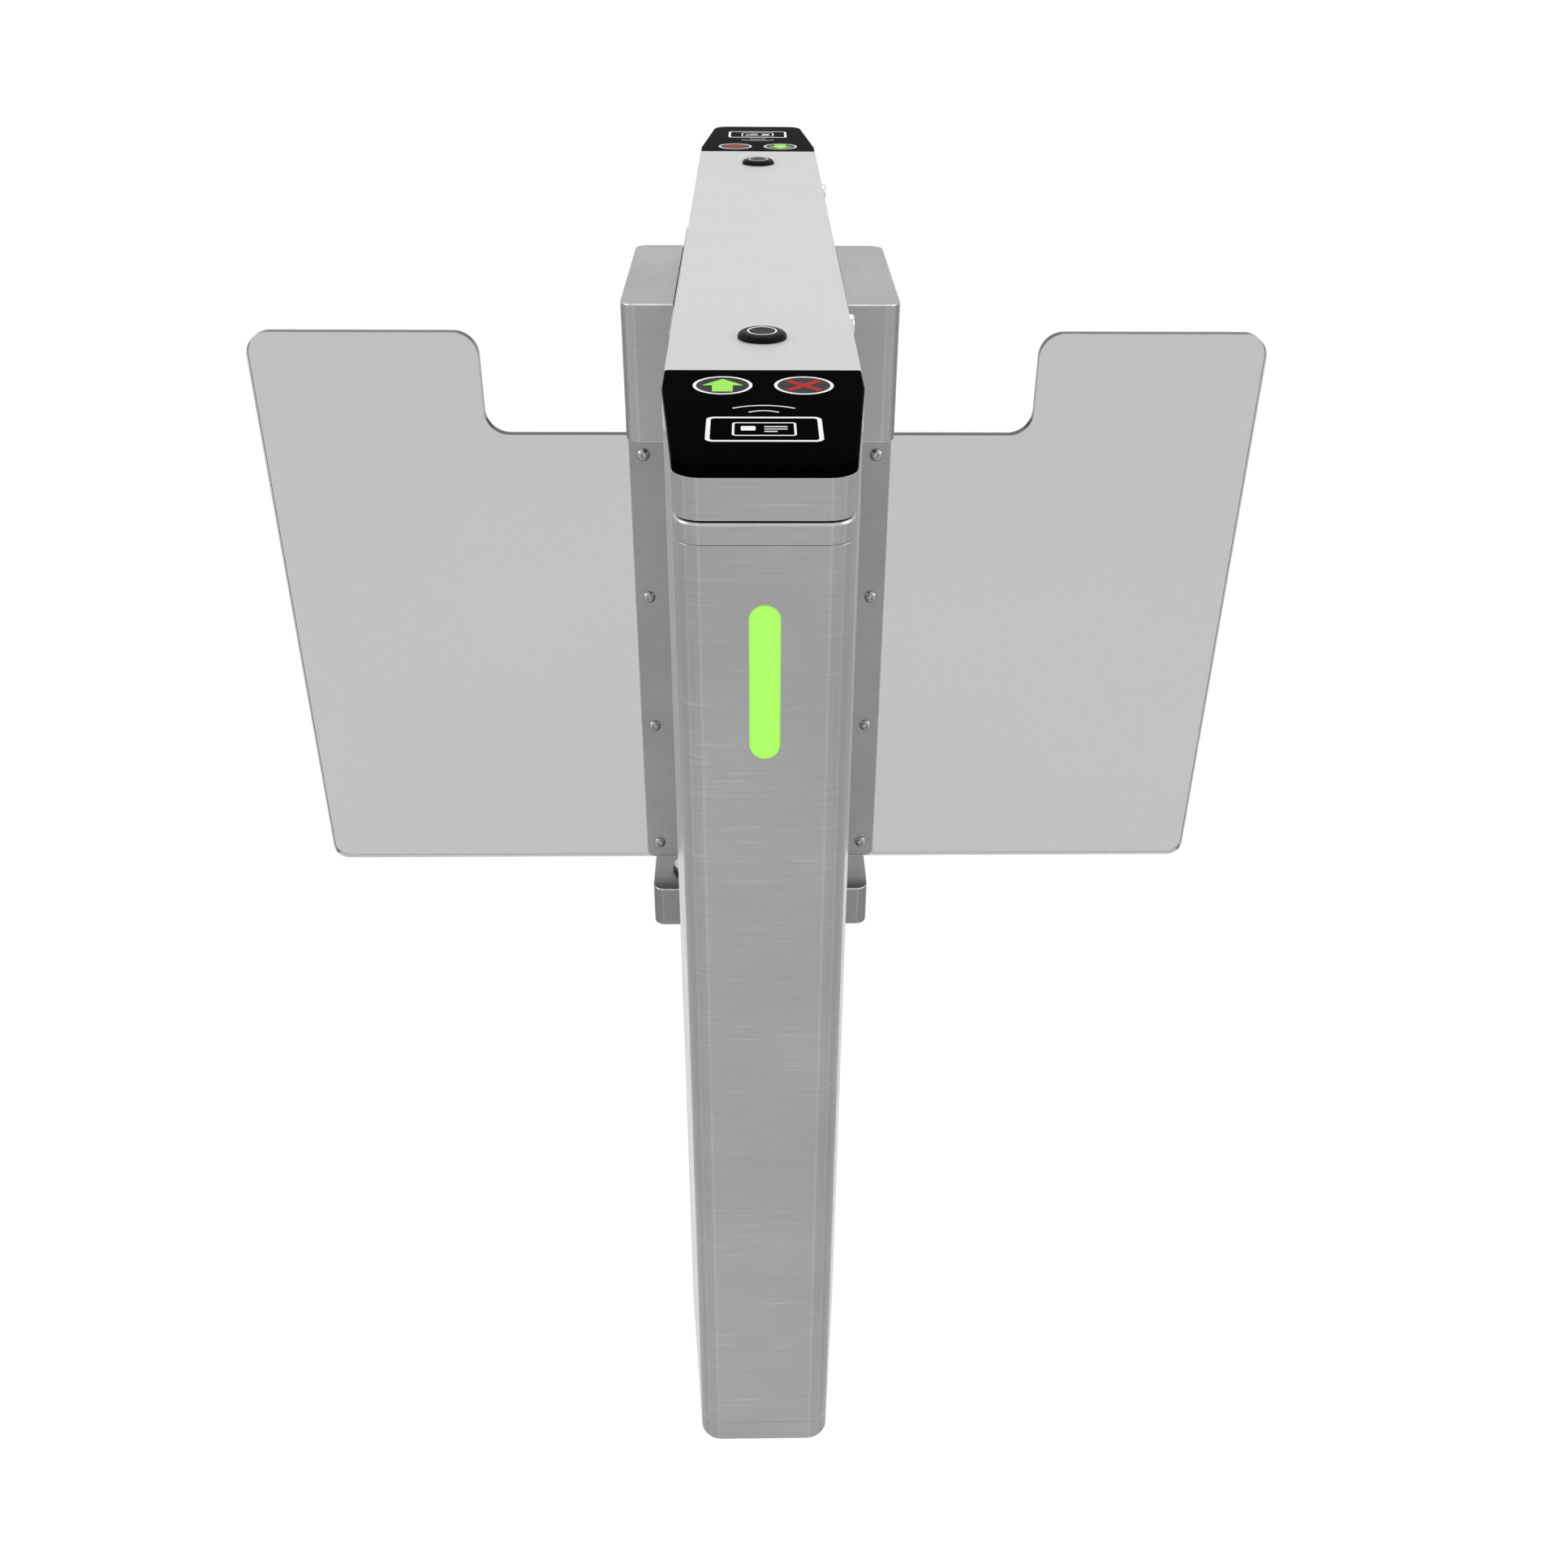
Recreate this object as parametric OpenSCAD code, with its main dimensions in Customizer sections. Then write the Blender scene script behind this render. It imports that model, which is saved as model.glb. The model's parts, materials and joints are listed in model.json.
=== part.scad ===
/* [Cabinet] */
// Length of the cabinet and its lid
body_l = 1400; // [1300:10:1600]
// Width of the cabinet between its side panels
body_w = 150; // [144:1:160]
// Width of the end face, between the sharp corners of the taper
nose_w = 120; // [112:1:126]
// Length of the tapered nose at each end
nose_l = 170; // [150:5:180]
// Corner radius of the nose in plan
nose_r = 20; // [18:1:24]
// Thickness of the cabinet's sheet metal
wall = 2; // [1.5:0.1:2.5]
// Height of the base skirt
skirt_h = 25; // [22:1:40]
// Thickness of the floor plate
plate_t = 6; // [5:0.5:10]
// Height at which the panels end and the rim starts
shell_top = 945; // [943:1:948]
// Height of the rim above the panels
rim_h = 16; // [15:0.5:18]
// Width of the inward flange of the rim
rim_flange = 12; // [10:1:14]

/* [Floor anchors] */
// Distance between anchor holes across the cabinet
anchor_x = 80; // [60:1:90]
// Distance of the anchor holes from the ends of the cabinet
anchor_in = 100; // [60:5:130]
// Diameter of the anchor holes
anchor_d = 14; // [10:0.5:18]
// Diameter of the cable entry in the floor plate
entry_d = 50; // [30:1:60]
// Distance of the cable entry from the middle
entry_y = 300; // [240:5:360]

/* [Lid] */
// Height of the lid, without the gap below it
lid_h = 37; // [35:0.5:41]
// Gap between rim and lid that the seal fills
lid_gap = 2; // [1.5:0.1:2.5]
// Thickness of the black end panels
panel_t = 8.4; // [6:0.1:9]
// Length of each black end panel
panel_l = 210; // [205:1:230]
// Thickness of the lid's top plate
lid_plate_t = 2; // [1.5:0.1:2.2]
// Width of the flanges inside the lid
lid_flange = 12; // [10:1:14]
// Width of the seal strip
seal_w = 6; // [4:0.5:7]

/* [Lid hinges] */
// Distance of each lid hinge from the middle
hinge_y = 330; // [290:5:400]
// Length of each lid hinge
hinge_l = 60; // [50:1:70]
// Outer radius of the hinge knuckles
knuckle_r = 3.5; // [3:0.1:3.6]
// Radius of the hinge pins
hinge_pin_r = 1.75; // [1.2:0.05:2]
// Thickness of the hinge leaves
leaf_t = 1.5; // [1:0.1:1.6]
// Height of each hinge leaf
leaf_h = 24; // [18:1:28]

/* [Lid locks] */
// Distance of each lock from the middle
lock_y = 300; // [260:5:360]
// Distance of the lock's axis below the top of the lid
lock_drop = 16; // [15:0.5:17]
// Diameter of the lock's head
lock_head_d = 18; // [16:0.5:19]
// How far the lock's head stands out of the lid
lock_proud = 6; // [4:0.5:8]
// Diameter of the lock's barrel
lock_barrel_d = 15; // [13:0.5:16]
// Diameter of the turning plug
lock_plug_d = 9; // [7:0.5:10]
// Length of the lock's barrel behind the outer face of the lid
lock_barrel_l = 19; // [16:0.5:22]
// Reach of the lock's cam from its axis
cam_r = 32; // [31:0.5:34]

/* [Request buttons] */
// Distance of each button from the joint of the black panel
button_in = 90; // [50:5:120]
// Diameter of the button's bezel
bezel_d = 40; // [36:1:46]
// Height of the bezel above the lid
bezel_h = 5.5; // [4.5:0.5:8]
// Diameter of the moving button cap
cap_d = 20; // [14:1:22]
// Travel of the button cap
cap_travel = 2; // [1:0.5:3]

/* [Wing glass] */
// Distance of the wing's axis from the middle
axis_x = 96; // [95.5:0.5:97]
// Distance of the outer edge of the glass from the middle
glass_edge = 549; // [450:1:650]
// Height of the lower edge of the glass
glass_low = 222; // [215:1:228]
// Height of the glass above the notch's floor
glass_over = 112; // [80:1:150]
// Distance of the notch's upright edge from the middle
notch_x = 302; // [290:1:340]
// Thickness of the glass
glass_t = 12; // [10:1:13]
// Radius of the upper corners and of the notch
glass_r = 26; // [15:1:40]
// Radius of the lower outer corner
glass_low_r = 18; // [8:1:30]

/* [Wing clamps] */
// Distance of the outer edge of the clamps from the middle
clamp_edge = 145; // [142:1:152]
// Distance of the inner edge of the clamps from the middle
clamp_inner = 84; // [84:0.5:85]
// Height of the lower edge of the clamps
clamp_low = 230; // [229:1:236]
// Gap between the clamps and the arm housing above them
clamp_gap = 4.4; // [3.5:0.1:12]
// How far the clamps reach above the notch's floor
clamp_over = 30; // [20:1:40]
// Thickness of each clamp plate
clamp_t = 8; // [5:0.5:8.5]
// Thickness of the rubber between clamp and glass
gasket_t = 1; // [0.5:0.1:1.2]
// Distance of the screws from the middle
screw_x = 129; // [126:0.5:132]
// Distance of the lowest screw from the lower edge of the clamps
screw_low_in = 20; // [14:1:40]
// Distance of the highest screw below the notch's floor
screw_high_in = 19; // [14:1:40]
// Diameter of the screw shanks
screw_d = 8; // [6:1:9]
// Diameter of the screw heads
screw_head_d = 14; // [12:0.5:16]
// Height of the screw heads
screw_head_h = 4.4; // [3:0.2:5]

/* [Wing shaft] */
// Radius of the shaft in its bearings
shaft_r = 10; // [8:0.5:10.5]
// Radius of the collar that carries the wing
collar_r = 16; // [14:0.5:18]
// Running clearance between a shaft and its hole
run_gap = 0.05; // [0.02:0.01:0.1]

/* [Lower bracket] */
// Distance of the outer face of the bracket from the middle
bracket_x = 138; // [130:1:150]
// Half length of the bracket along the cabinet
bracket_y = 45; // [38:1:60]
// Height of the lower face of the bracket
bracket_low = 140; // [110:1:150]
// Height of the upper face of the bracket
bracket_high = 197; // [190:1:206]
// Radius of the bracket's outer corners
bracket_r = 14; // [6:1:20]
// Wall of the bracket
bracket_t = 4; // [3:0.5:6]
// Outer radius of the bush
bush_r = 14; // [12.5:0.5:16]
// Length of the bush below its flange
bush_l = 26; // [18:1:30]

/* [Arm housing] */
// Distance of the outer face of the housing from the middle
housing_x = 138; // [138:1:150]
// Half length of the housing along the cabinet
housing_y = 131; // [124:1:150]
// How far the housing stands above the panels
housing_over = 13.5; // [6:0.5:15]
// Height of the housing
housing_h = 139.1; // [136:0.1:142]
// Radius of the housing's outer corners
housing_r = 16; // [6:1:24]
// Distance of the outer face of the side plate from the middle
side_plate_x = 85; // [84:0.5:86]
// Half length of the side plate along the cabinet
side_plate_y = 227; // [215:1:260]

/* [Drive] */
// Distance of the mechanism plate's upper face below the panels' upper edge
deck_drop = 32; // [29:1:36]
// Thickness of the mechanism plate
deck_t = 12; // [10:1:14]
// Half length of the mechanism plate along the cabinet
deck_y = 112; // [106:1:118]
// Gear module
gear_m = 1.5; // [1:0.25:1.5]
// Teeth of the wheel on the wing shaft
wheel_n = 48; // [40:4:48]
// Teeth of the motor pinion
pinion_n = 24; // [20:4:24]
// Teeth of the encoder pinion
encoder_n = 16; // [12:4:16]
// Width of the gear teeth
gear_w = 12; // [8:1:14]
// Outer radius of the upper bearing
bearing_r = 21; // [18:0.5:23]
// Diameter of the gear motor
motor_d = 46; // [36:1:50]
// Length of the gear motor
motor_l = 76; // [50:1:78]
// Diameter of the encoder
encoder_d = 30; // [20:1:34]
// Length of the encoder
encoder_l = 32; // [20:1:50]

/* [End lights] */
// Width of the light strip
light_w = 22; // [16:1:30]
// Length of the light strip
light_l = 121; // [90:1:200]
// Distance of the strip below the panels' upper edge
light_drop = 43; // [30:1:60]

/* [Inside] */
// Width of the square tubes of the inner frame
tube = 24; // [18:1:26]
// Half distance between the uprights along the cabinet
upright_y = 98; // [90:1:99]
// Width of the card readers
reader_w = 96; // [80:1:100]
// Length of the card readers
reader_l = 64; // [50:1:70]
// Distance of the card readers from the end of the cabinet
reader_y = 72; // [66:1:76]
// Distance between the two light guides under a panel
guide_x = 60; // [52:1:62]
// Diameter of the light guides
guide_d = 41; // [34:1:46]
// Distance of the light guides from the end of the cabinet
guide_y = 171; // [160:1:175]
// Diameter of the sensor windows
sensor_d = 16; // [8:1:20]
// Distance of the sensor windows from the ends of the side panels
sensor_in = 38; // [25:1:60]
// Height of the lower sensor windows
sensor_low = 350; // [300:5:420]
// Distance between the lower and the upper sensor windows
sensor_step = 290; // [200:5:320]
// Length of the control board along the cabinet
board_l = 150; // [120:1:180]
// Height of the control board
board_h = 190; // [150:1:200]
// Height of the lower edge of the control board
board_low = 600; // [560:5:610]
// Distance of the control board from the end of the side panel
board_in = 118; // [90:1:140]
// Depth of the power supply
supply_d = 42; // [30:1:46]
// Length of the power supply along the cabinet
supply_l = 110; // [90:1:140]
// Height of the power supply
supply_h = 200; // [160:1:240]
// Height of the lower edge of the power supply
supply_low = 300; // [260:5:340]
// Distance of the power supply from the end of the side panel
supply_in = 68; // [60:1:90]

/* [Hidden] */

// Gap between fixed pieces that meet at a seam
seam = 0.3;
// Clearance between fixed pieces that fit into each other
fit = 0.1;
// Sides of the circles
fine = 64;
coarse = 32;
// Overshoot of a cut past the surface that it opens
over = 1;

half_l = body_l / 2;
half_w = body_w / 2;
taper = atan((body_w - nose_w) / 2 / nose_l);
kink_y = half_l - nose_l;
corner_c = [nose_w / 2 - nose_r * cos(taper) / (1 + sin(taper)), half_l - nose_r];

rim_top = shell_top + rim_h;
lid_low = rim_top + lid_gap;
lid_top_z = lid_low + lid_h;
lock_z = lid_top_z - lock_drop;
barrel_x = half_w - lock_barrel_l;
deck_z = shell_top - deck_drop;
deck_low = deck_z - deck_t;
housing_high = shell_top + housing_over;
housing_low = housing_high - housing_h;
clamp_high = housing_low - clamp_gap;
notch_z = clamp_high - clamp_over;
glass_high = notch_z + glass_over;
light_high = shell_top - light_drop;
light_low = light_high - light_l;
anchor_y = body_l - 2 * anchor_in;
sensor_y = kink_y - sensor_in;
sensor_z = [sensor_low, sensor_low + sensor_step];
panel_y = half_l - panel_l;
button_y = panel_y - button_in;
panel_low = lid_top_z - panel_t;
// How far the walls of the lid reach under its black panels, where its end shells begin
tray_lap = 12;
// Border of the card readers that rests under the sheet, and the inset of their raised faces
reader_rest = 6;
reader_in = reader_rest + seam;
lid_plate_low = lid_top_z - lid_plate_t;
axis_pin = [-(half_w + 0.2 + knuckle_r), 0, rim_top - 1];
gear_low = deck_z + 3;
wheel_r = gear_m * wheel_n / 2;
motor_y = gear_m * (wheel_n + pinion_n) / 2;
encoder_y = -gear_m * (wheel_n + encoder_n) / 2;
clamp_face = glass_t / 2 + gasket_t;
screw_low = clamp_low + screw_low_in;
screw_z = [for (i = [0:3]) screw_low + i / 3 * (notch_z - screw_high_in - screw_low)];
bar_edge = axis_x + shaft_r;
glass_inner = bar_edge + 1;
opening_y = housing_y - wall - 9;
opening_low = housing_low + wall + 2;
opening_high = shell_top - 8;
post_x = half_w - wall - seam - tube / 2;
flange_w = 13;
slot_gap = 0.2;

// Plan outline of the cabinet, drawn in by the given distance
module plan(inset) {
    r = nose_r - inset;
    hw = half_w - inset;
    yk = kink_y - inset * tan(taper / 2);
    side = corner_c + r * [cos(taper), sin(taper)];
    tip = corner_c + [0, r];
    polygon([
        [hw, -yk], [hw, yk], side, tip,
        [-tip[0], tip[1]], [-side[0], side[1]], [-hw, yk], [-hw, -yk],
        [-side[0], -side[1]], [-tip[0], -tip[1]], [tip[0], -tip[1]], [side[0], -side[1]]
    ]);
    for (sx = [-1, 1], sy = [-1, 1])
        translate([sx * corner_c[0], sy * corner_c[1]]) circle(r, $fn = fine);
}

module slab(z0, z1, inset) {
    translate([0, 0, z0]) linear_extrude(z1 - z0) plan(inset);
}

module band(z0, z1, outer, inner) {
    difference() {
        slab(z0, z1, outer);
        slab(z0 - over, z1 + over, inner);
    }
}

// Box between two opposite corners
module block(a, b) {
    translate(a) cube(b - a);
}

// Full-width zone between two places along the cabinet
module zone(y0, y1, z0, z1) {
    block([-body_w, y0, z0], [body_w, y1, z1]);
}

// Children as they are for the right or front side, turned half way round for the other
module turned(sides) {
    for (s = sides) rotate([0, 0, s < 0 ? 180 : 0]) children();
}

// Rectangle with round corners, in the plane
module round_rect(x0, y0, x1, y1, r) {
    translate([x0 + r, y0]) square([x1 - x0 - 2 * r, y1 - y0]);
    translate([x0, y0 + r]) square([x1 - x0, y1 - y0 - 2 * r]);
    for (x = [x0 + r, x1 - r], y = [y0 + r, y1 - r])
        translate([x, y]) circle(r, $fn = fine);
}

// What is cut away to round a corner that points along sx, sy
module corner_cut(x, y, r, sx, sy) {
    difference() {
        translate([x - (sx > 0 ? r : 0), y - (sy > 0 ? r : 0)]) square(r);
        translate([x - sx * r, y - sy * r]) circle(r, $fn = fine);
    }
}

// Plan outline of a box on the side of the cabinet with round outer corners
module side_box(x0, x1, y, r) {
    difference() {
        translate([x0, -y]) square([x1 - x0, 2 * y]);
        corner_cut(x1, y, r, 1, 1);
        corner_cut(x1, -y, r, 1, -1);
    }
}

// Cylinder along Y between two places
module y_rod(x, z, y0, y1, r, sides = fine) {
    translate([x, y1, z]) rotate([90, 0, 0]) cylinder(y1 - y0, r = r, $fn = sides);
}

// Cylinder along X between two places
module x_rod(y, z, x0, x1, r, sides = fine) {
    translate([x0, y, z]) rotate([0, 90, 0]) cylinder(x1 - x0, r = r, $fn = sides);
}

module z_rod(x, y, z0, z1, r, sides = fine) {
    translate([x, y, z0]) cylinder(z1 - z0, r = r, $fn = sides);
}

// Cone along Z, with its lower and its upper radius
module z_cone(x, y, z0, z1, r0, r1) {
    translate([x, y, z0]) cylinder(z1 - z0, r1 = r0, r2 = r1, $fn = fine);
}

module z_ring(x, y, z0, z1, outer, inner) {
    difference() {
        z_rod(x, y, z0, z1, outer);
        z_rod(x, y, z0 - over, z1 + over, inner);
    }
}

// Involute gear: tooth half angle at a radius, and the points of one tooth
function involute(a) = tan(a) * 180 / PI - a;
function half_tooth(n, rho) = 90 / n - backlash / (gear_m * n) * 180 / PI
    + involute(20) - involute(acos(min(1, gear_m * n / 2 * cos(20) / rho)));
function polar(rho, a) = rho * [cos(a), sin(a)];
backlash = 0.12;
function flank(n) = [for (i = [0:4])
    let (low = max(gear_m * (n / 2 - 1.2), gear_m * n / 2 * cos(20)))
    low + i / 4 * (gear_m * (n / 2 + 0.95) - low)];
function tooth(n, a) = concat(
    [polar(gear_m * (n / 2 - 1.25), a - half_tooth(n, flank(n)[0]))],
    [for (rho = flank(n)) polar(rho, a - half_tooth(n, rho))],
    [for (i = [4:-1:0]) polar(flank(n)[i], a + half_tooth(n, flank(n)[i]))],
    [polar(gear_m * (n / 2 - 1.25), a + half_tooth(n, flank(n)[0]))]);
module gear(n, phase) {
    linear_extrude(gear_w)
        polygon([for (i = [0:n - 1]) each tooth(n, phase + i * 360 / n)]);
}

module base_frame() {
    color("silver") difference() {
        union() {
            slab(0, plate_t, 0);
            band(0, skirt_h, 0, wall);
        }
        for (x = [-anchor_x / 2, anchor_x / 2], y = [-anchor_y / 2, anchor_y / 2])
            z_rod(x, y, -over, plate_t + over, anchor_d / 2);
        z_rod(0, entry_y, -over, plate_t + over, entry_d / 2);
    }
}

// Right side panel: a sheet with a return flange at each end and an opening for the drive
module side_panel() {
    end_y = kink_y - seam / 2;
    color("silver") difference() {
        union() {
            block([half_w - wall, -end_y, skirt_h + seam], [half_w, end_y, shell_top - seam]);
            for (y = [-end_y, end_y - wall])
                block([half_w - flange_w, y, skirt_h + seam],
                      [half_w, y + wall, shell_top - seam]);
        }
        block([half_w - 2 * wall, -opening_y, opening_low],
              [half_w + over, opening_y, opening_high]);
        for (y = [-sensor_y, sensor_y], z = sensor_z)
            x_rod(y, z, half_w - 2 * wall, half_w + over, sensor_d / 2 + fit);
    }
}

// Front end column: the sheet wraps the nose and has the slot of the light strip
module end_column() {
    start = kink_y + seam / 2;
    color("silver") difference() {
        union() {
            intersection() {
                band(skirt_h + seam, shell_top - seam, 0, wall);
                zone(-half_l - over, -start, 0, shell_top);
            }
            intersection() {
                slab(skirt_h + seam, shell_top - seam, 0);
                for (s = [-1, 1])
                    block([s > 0 ? half_w - flange_w : -half_w, -start - wall, 0],
                          [s > 0 ? half_w : -half_w + flange_w, -start, shell_top]);
            }
        }
        light_prism(-half_l - over, -half_l + 2 * wall, 0);
    }
}

// Upright rounded prism of the light strip, grown by the given distance
module light_prism(y0, y1, grow) {
    r = light_w / 2 + grow;
    y_rod(0, light_low + light_w / 2, y0, y1, r);
    y_rod(0, light_high - light_w / 2, y0, y1, r);
    block([-r, y0, light_low + light_w / 2], [r, y1, light_high - light_w / 2]);
}

// Ring on top of the cabinet with an inward flange
module rim_frame() {
    color("silver") difference() {
        union() {
            band(shell_top, rim_top, 0, wall);
            slab(rim_top - wall, rim_top, wall);
        }
        slab(shell_top - over, rim_top + over, wall + rim_flange);
    }
}

// Tongue on the rim's flange beside each lock, which the hook of the cam catches from below
module lock_strikes() {
    color("gainsboro") for (y = [-lock_y, lock_y])
        block([barrel_x - 9, y - 12, rim_top],
              [half_w - seal_in - seal_w - seam, y - 6, lid_low - 0.5]);
}
seal_in = wall + 1;

// Four uprights on the floor plate with rails for the panels and the lower brackets
module inner_frame() {
    color("gray") {
        for (x = [-post_x, post_x]) {
            for (y = [-upright_y, upright_y]) {
                block([x - tube / 2, y - tube / 2, plate_t], [x + tube / 2, y + tube / 2, deck_low]);
                block([x - tube / 2, y - 26, plate_t], [x + tube / 2, y + 26, plate_t + 5]);
            }
            block([x - tube / 2, -upright_y, bracket_low + 8],
                  [x + tube / 2, upright_y, bracket_high - 8]);
        }
        for (y = [-upright_y, upright_y], z = [bracket_low + 8, 520])
            block([-post_x, y - tube / 2, z], [post_x, y + tube / 2, z + tube]);
    }
}

module mechanism_plate() {
    deck_x = housing_x - wall - 2;
    color("dimgray") difference() {
        block([-deck_x, -deck_y, deck_low], [deck_x, deck_y, deck_z]);
        turned([-1, 1]) {
            z_rod(axis_x, 0, deck_low - over, deck_z + over, bearing_r + fit);
            z_rod(axis_x, motor_y, deck_low - over, deck_z + over, motor_neck_r + fit);
            z_rod(axis_x, encoder_y, deck_low - over, deck_z + over, encoder_neck_r + fit);
        }
        block([-20, -40, deck_low - over], [20, 40, deck_z + over]);
    }
}

// Shallow tray between cabinet and arm housing, open where the drive passes
module side_plate() {
    x0 = half_w + seam;
    color("silver") difference() {
        block([x0, -side_plate_y, housing_low], [side_plate_x, side_plate_y, housing_high]);
        block([x0 - over, -side_plate_y + wall, housing_low + wall],
              [side_plate_x - wall, side_plate_y - wall, housing_high - wall]);
        block([x0, -opening_y, opening_low],
              [side_plate_x + over, opening_y, opening_high]);
    }
}

// Box of bent sheet over the drive, open towards the cabinet
module arm_housing() {
    x0 = side_plate_x + seam;
    color("silver") difference() {
        translate([0, 0, housing_low]) linear_extrude(housing_high - housing_low)
            side_box(x0, housing_x, housing_y, housing_r);
        translate([0, 0, housing_low + wall]) linear_extrude(housing_high - housing_low - 2 * wall)
            side_box(x0 - over, housing_x - wall, housing_y - wall, housing_r - wall);
        z_rod(axis_x, 0, housing_low - over, housing_low + 2 * wall, seal_r + fit);
    }
}
seal_r = shaft_r + 0.5;

// Cast bracket: closed box with a boss that holds the bush
module lower_bracket() {
    x0 = half_w + seam;
    color("silver") difference() {
        union() {
            difference() {
                translate([0, 0, bracket_low]) linear_extrude(bracket_high - bracket_low)
                    side_box(x0, bracket_x, bracket_y, bracket_r);
                translate([0, 0, bracket_low + bracket_t])
                    linear_extrude(bracket_high - bracket_low - bracket_t - bracket_top)
                    side_box(x0 - over, bracket_x - bracket_t, bracket_y - bracket_t,
                             max(bracket_r - bracket_t, 1));
            }
            z_rod(axis_x, 0, bracket_high - bush_l, bracket_high - over, bush_r + 6);
        }
        z_rod(axis_x, 0, bracket_high - bush_l - over, bracket_high + over, bush_r + fit);
    }
}
bracket_top = 6;

module lower_bushes() {
    color([0.1, 0.1, 0.1]) turned([-1, 1]) difference() {
        union() {
            z_rod(axis_x, 0, bracket_high - bush_l, bracket_high + fit, bush_r);
            z_rod(axis_x, 0, bracket_high + fit, bracket_high + bush_flange, bush_r + 4);
        }
        z_rod(axis_x, 0, bracket_low, bracket_high + 10, shaft_r + run_gap);
    }
}
bush_flange = 3;

module upper_bearings() {
    color("silver") turned([-1, 1]) difference() {
        z_rod(axis_x, 0, deck_low, deck_z, bearing_r);
        z_rod(axis_x, 0, deck_low - over, deck_z + over, shaft_r + run_gap);
        for (z = [deck_low - 0.01, deck_z - 1])
            z_ring(axis_x, 0, z, z + 1.01, bearing_r - 3, shaft_r + 3);
    }
}

// Lip ring around the shaft under the floor of each arm housing
module shaft_seals() {
    color("black") turned([-1, 1]) difference() {
        union() {
            z_rod(axis_x, 0, housing_low - 1.6, housing_low - fit, seal_r + 5);
            z_rod(axis_x, 0, housing_low - fit, housing_low + wall + 1, seal_r);
        }
        z_rod(axis_x, 0, housing_low - 4, housing_low + 9, shaft_r + 0.3);
    }
}

// Motor with its gearbox, hung under the mechanism plate
module gear_motor() {
    color("dimgray") difference() {
        union() {
            z_rod(axis_x, motor_y, deck_low - 6, deck_low, motor_d / 2);
            z_rod(axis_x, motor_y, deck_low - 30, deck_low - 6, motor_d / 2 - 1.5);
            z_rod(axis_x, motor_y, deck_low - 32, deck_low - 30, motor_d / 2);
            z_rod(axis_x, motor_y, deck_low - motor_l, deck_low - 32, motor_d / 2 - 3);
            z_rod(axis_x, motor_y, deck_low, deck_z - 2, motor_neck_r);
        }
        z_rod(axis_x, motor_y, deck_low - 26, deck_z, pinion_shaft_r + run_gap);
    }
}
pinion_shaft_r = 5;
motor_neck_r = pinion_shaft_r + 3.9;

module encoders() {
    color("darkslategray") turned([-1, 1]) difference() {
        union() {
            z_rod(axis_x, encoder_y, deck_low - encoder_l, deck_low, encoder_d / 2);
            z_rod(axis_x, encoder_y, deck_low, deck_z - 2, encoder_neck_r);
        }
        z_rod(axis_x, encoder_y, deck_low - 20, deck_z, encoder_shaft_r + run_gap);
    }
}
encoder_shaft_r = 3;
encoder_neck_r = encoder_shaft_r + 3.9;

// Diffuser of the light strip, with a flange behind the end face
module light_lens() {
    color("greenyellow") difference() {
        union() {
            light_prism(-half_l - 0.4, -half_l + wall + 1, -slot_gap);
            light_prism(-half_l + wall + fit, -half_l + wall + 4, 5);
        }
        light_prism(-half_l + wall + 1, -half_l + wall + 5, -3);
    }
}

module light_boards() {
    y0 = -half_l + wall + 4;
    color("green") turned([-1, 1]) {
        light_prism(y0, y0 + 1.6, 5);
        for (i = [0:7])
            block([-2.5, y0 - 1.2, light_low + 11 + i * light_pitch],
                  [2.5, y0 + 0.1, light_low + 16 + i * light_pitch]);
    }
}
light_pitch = (light_high - light_low - 27) / 7;

module sensor_windows() {
    color("black") turned([-1, 1])
        for (y = [-sensor_y, sensor_y], z = sensor_z) {
            x_rod(y, z, half_w - wall - 8, half_w + 0.5, sensor_d / 2);
            x_rod(y, z, half_w - wall - 3, half_w - wall - fit, sensor_d / 2 + 3);
        }
}

// Circuit board on four pillars on the right side panel
module control_board() {
    x = half_w - wall - 12;
    y1 = kink_y - board_in;
    y0 = y1 - board_l;
    z0 = board_low;
    z1 = z0 + board_h;
    color("seagreen") {
        block([x - 1.6, y0, z0], [x, y1, z1]);
        for (y = [y0 + 8, y1 - 8], z = [z0 + 8, z1 - 8]) x_rod(y, z, x - 0.5, half_w - wall, 3);
        for (y = [y0 + 12, y1 - 24]) block([x - 12, y, z0 + 20], [x - 1, y + 12, z1 - 20]);
        block([x - 8, y0 + board_l / 3, z0 + 70], [x - 1, y0 + board_l / 3 + 40, z0 + 110]);
        block([x - 16, y0 + 44, z0 + 130], [x - 1, y1 - 46, z0 + 150]);
    }
}

// Power supply on the right side panel, with a notch for its terminals
module power_supply() {
    x = half_w - wall;
    y = supply_in - kink_y;
    top = supply_low + supply_h;
    color("gainsboro") difference() {
        block([x - supply_d, y, supply_low], [x, y + supply_l, top]);
        block([x - supply_d - over, y + 8, top - 18], [x - supply_d / 2, y + supply_l - 8, top + over]);
    }
}

module lid_seal() {
    color("black") band(rim_top, lid_low, seal_in, seal_in + seal_w);
}

function knuckle(i) = -hinge_l / 2 + i * hinge_l / 3;

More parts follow.
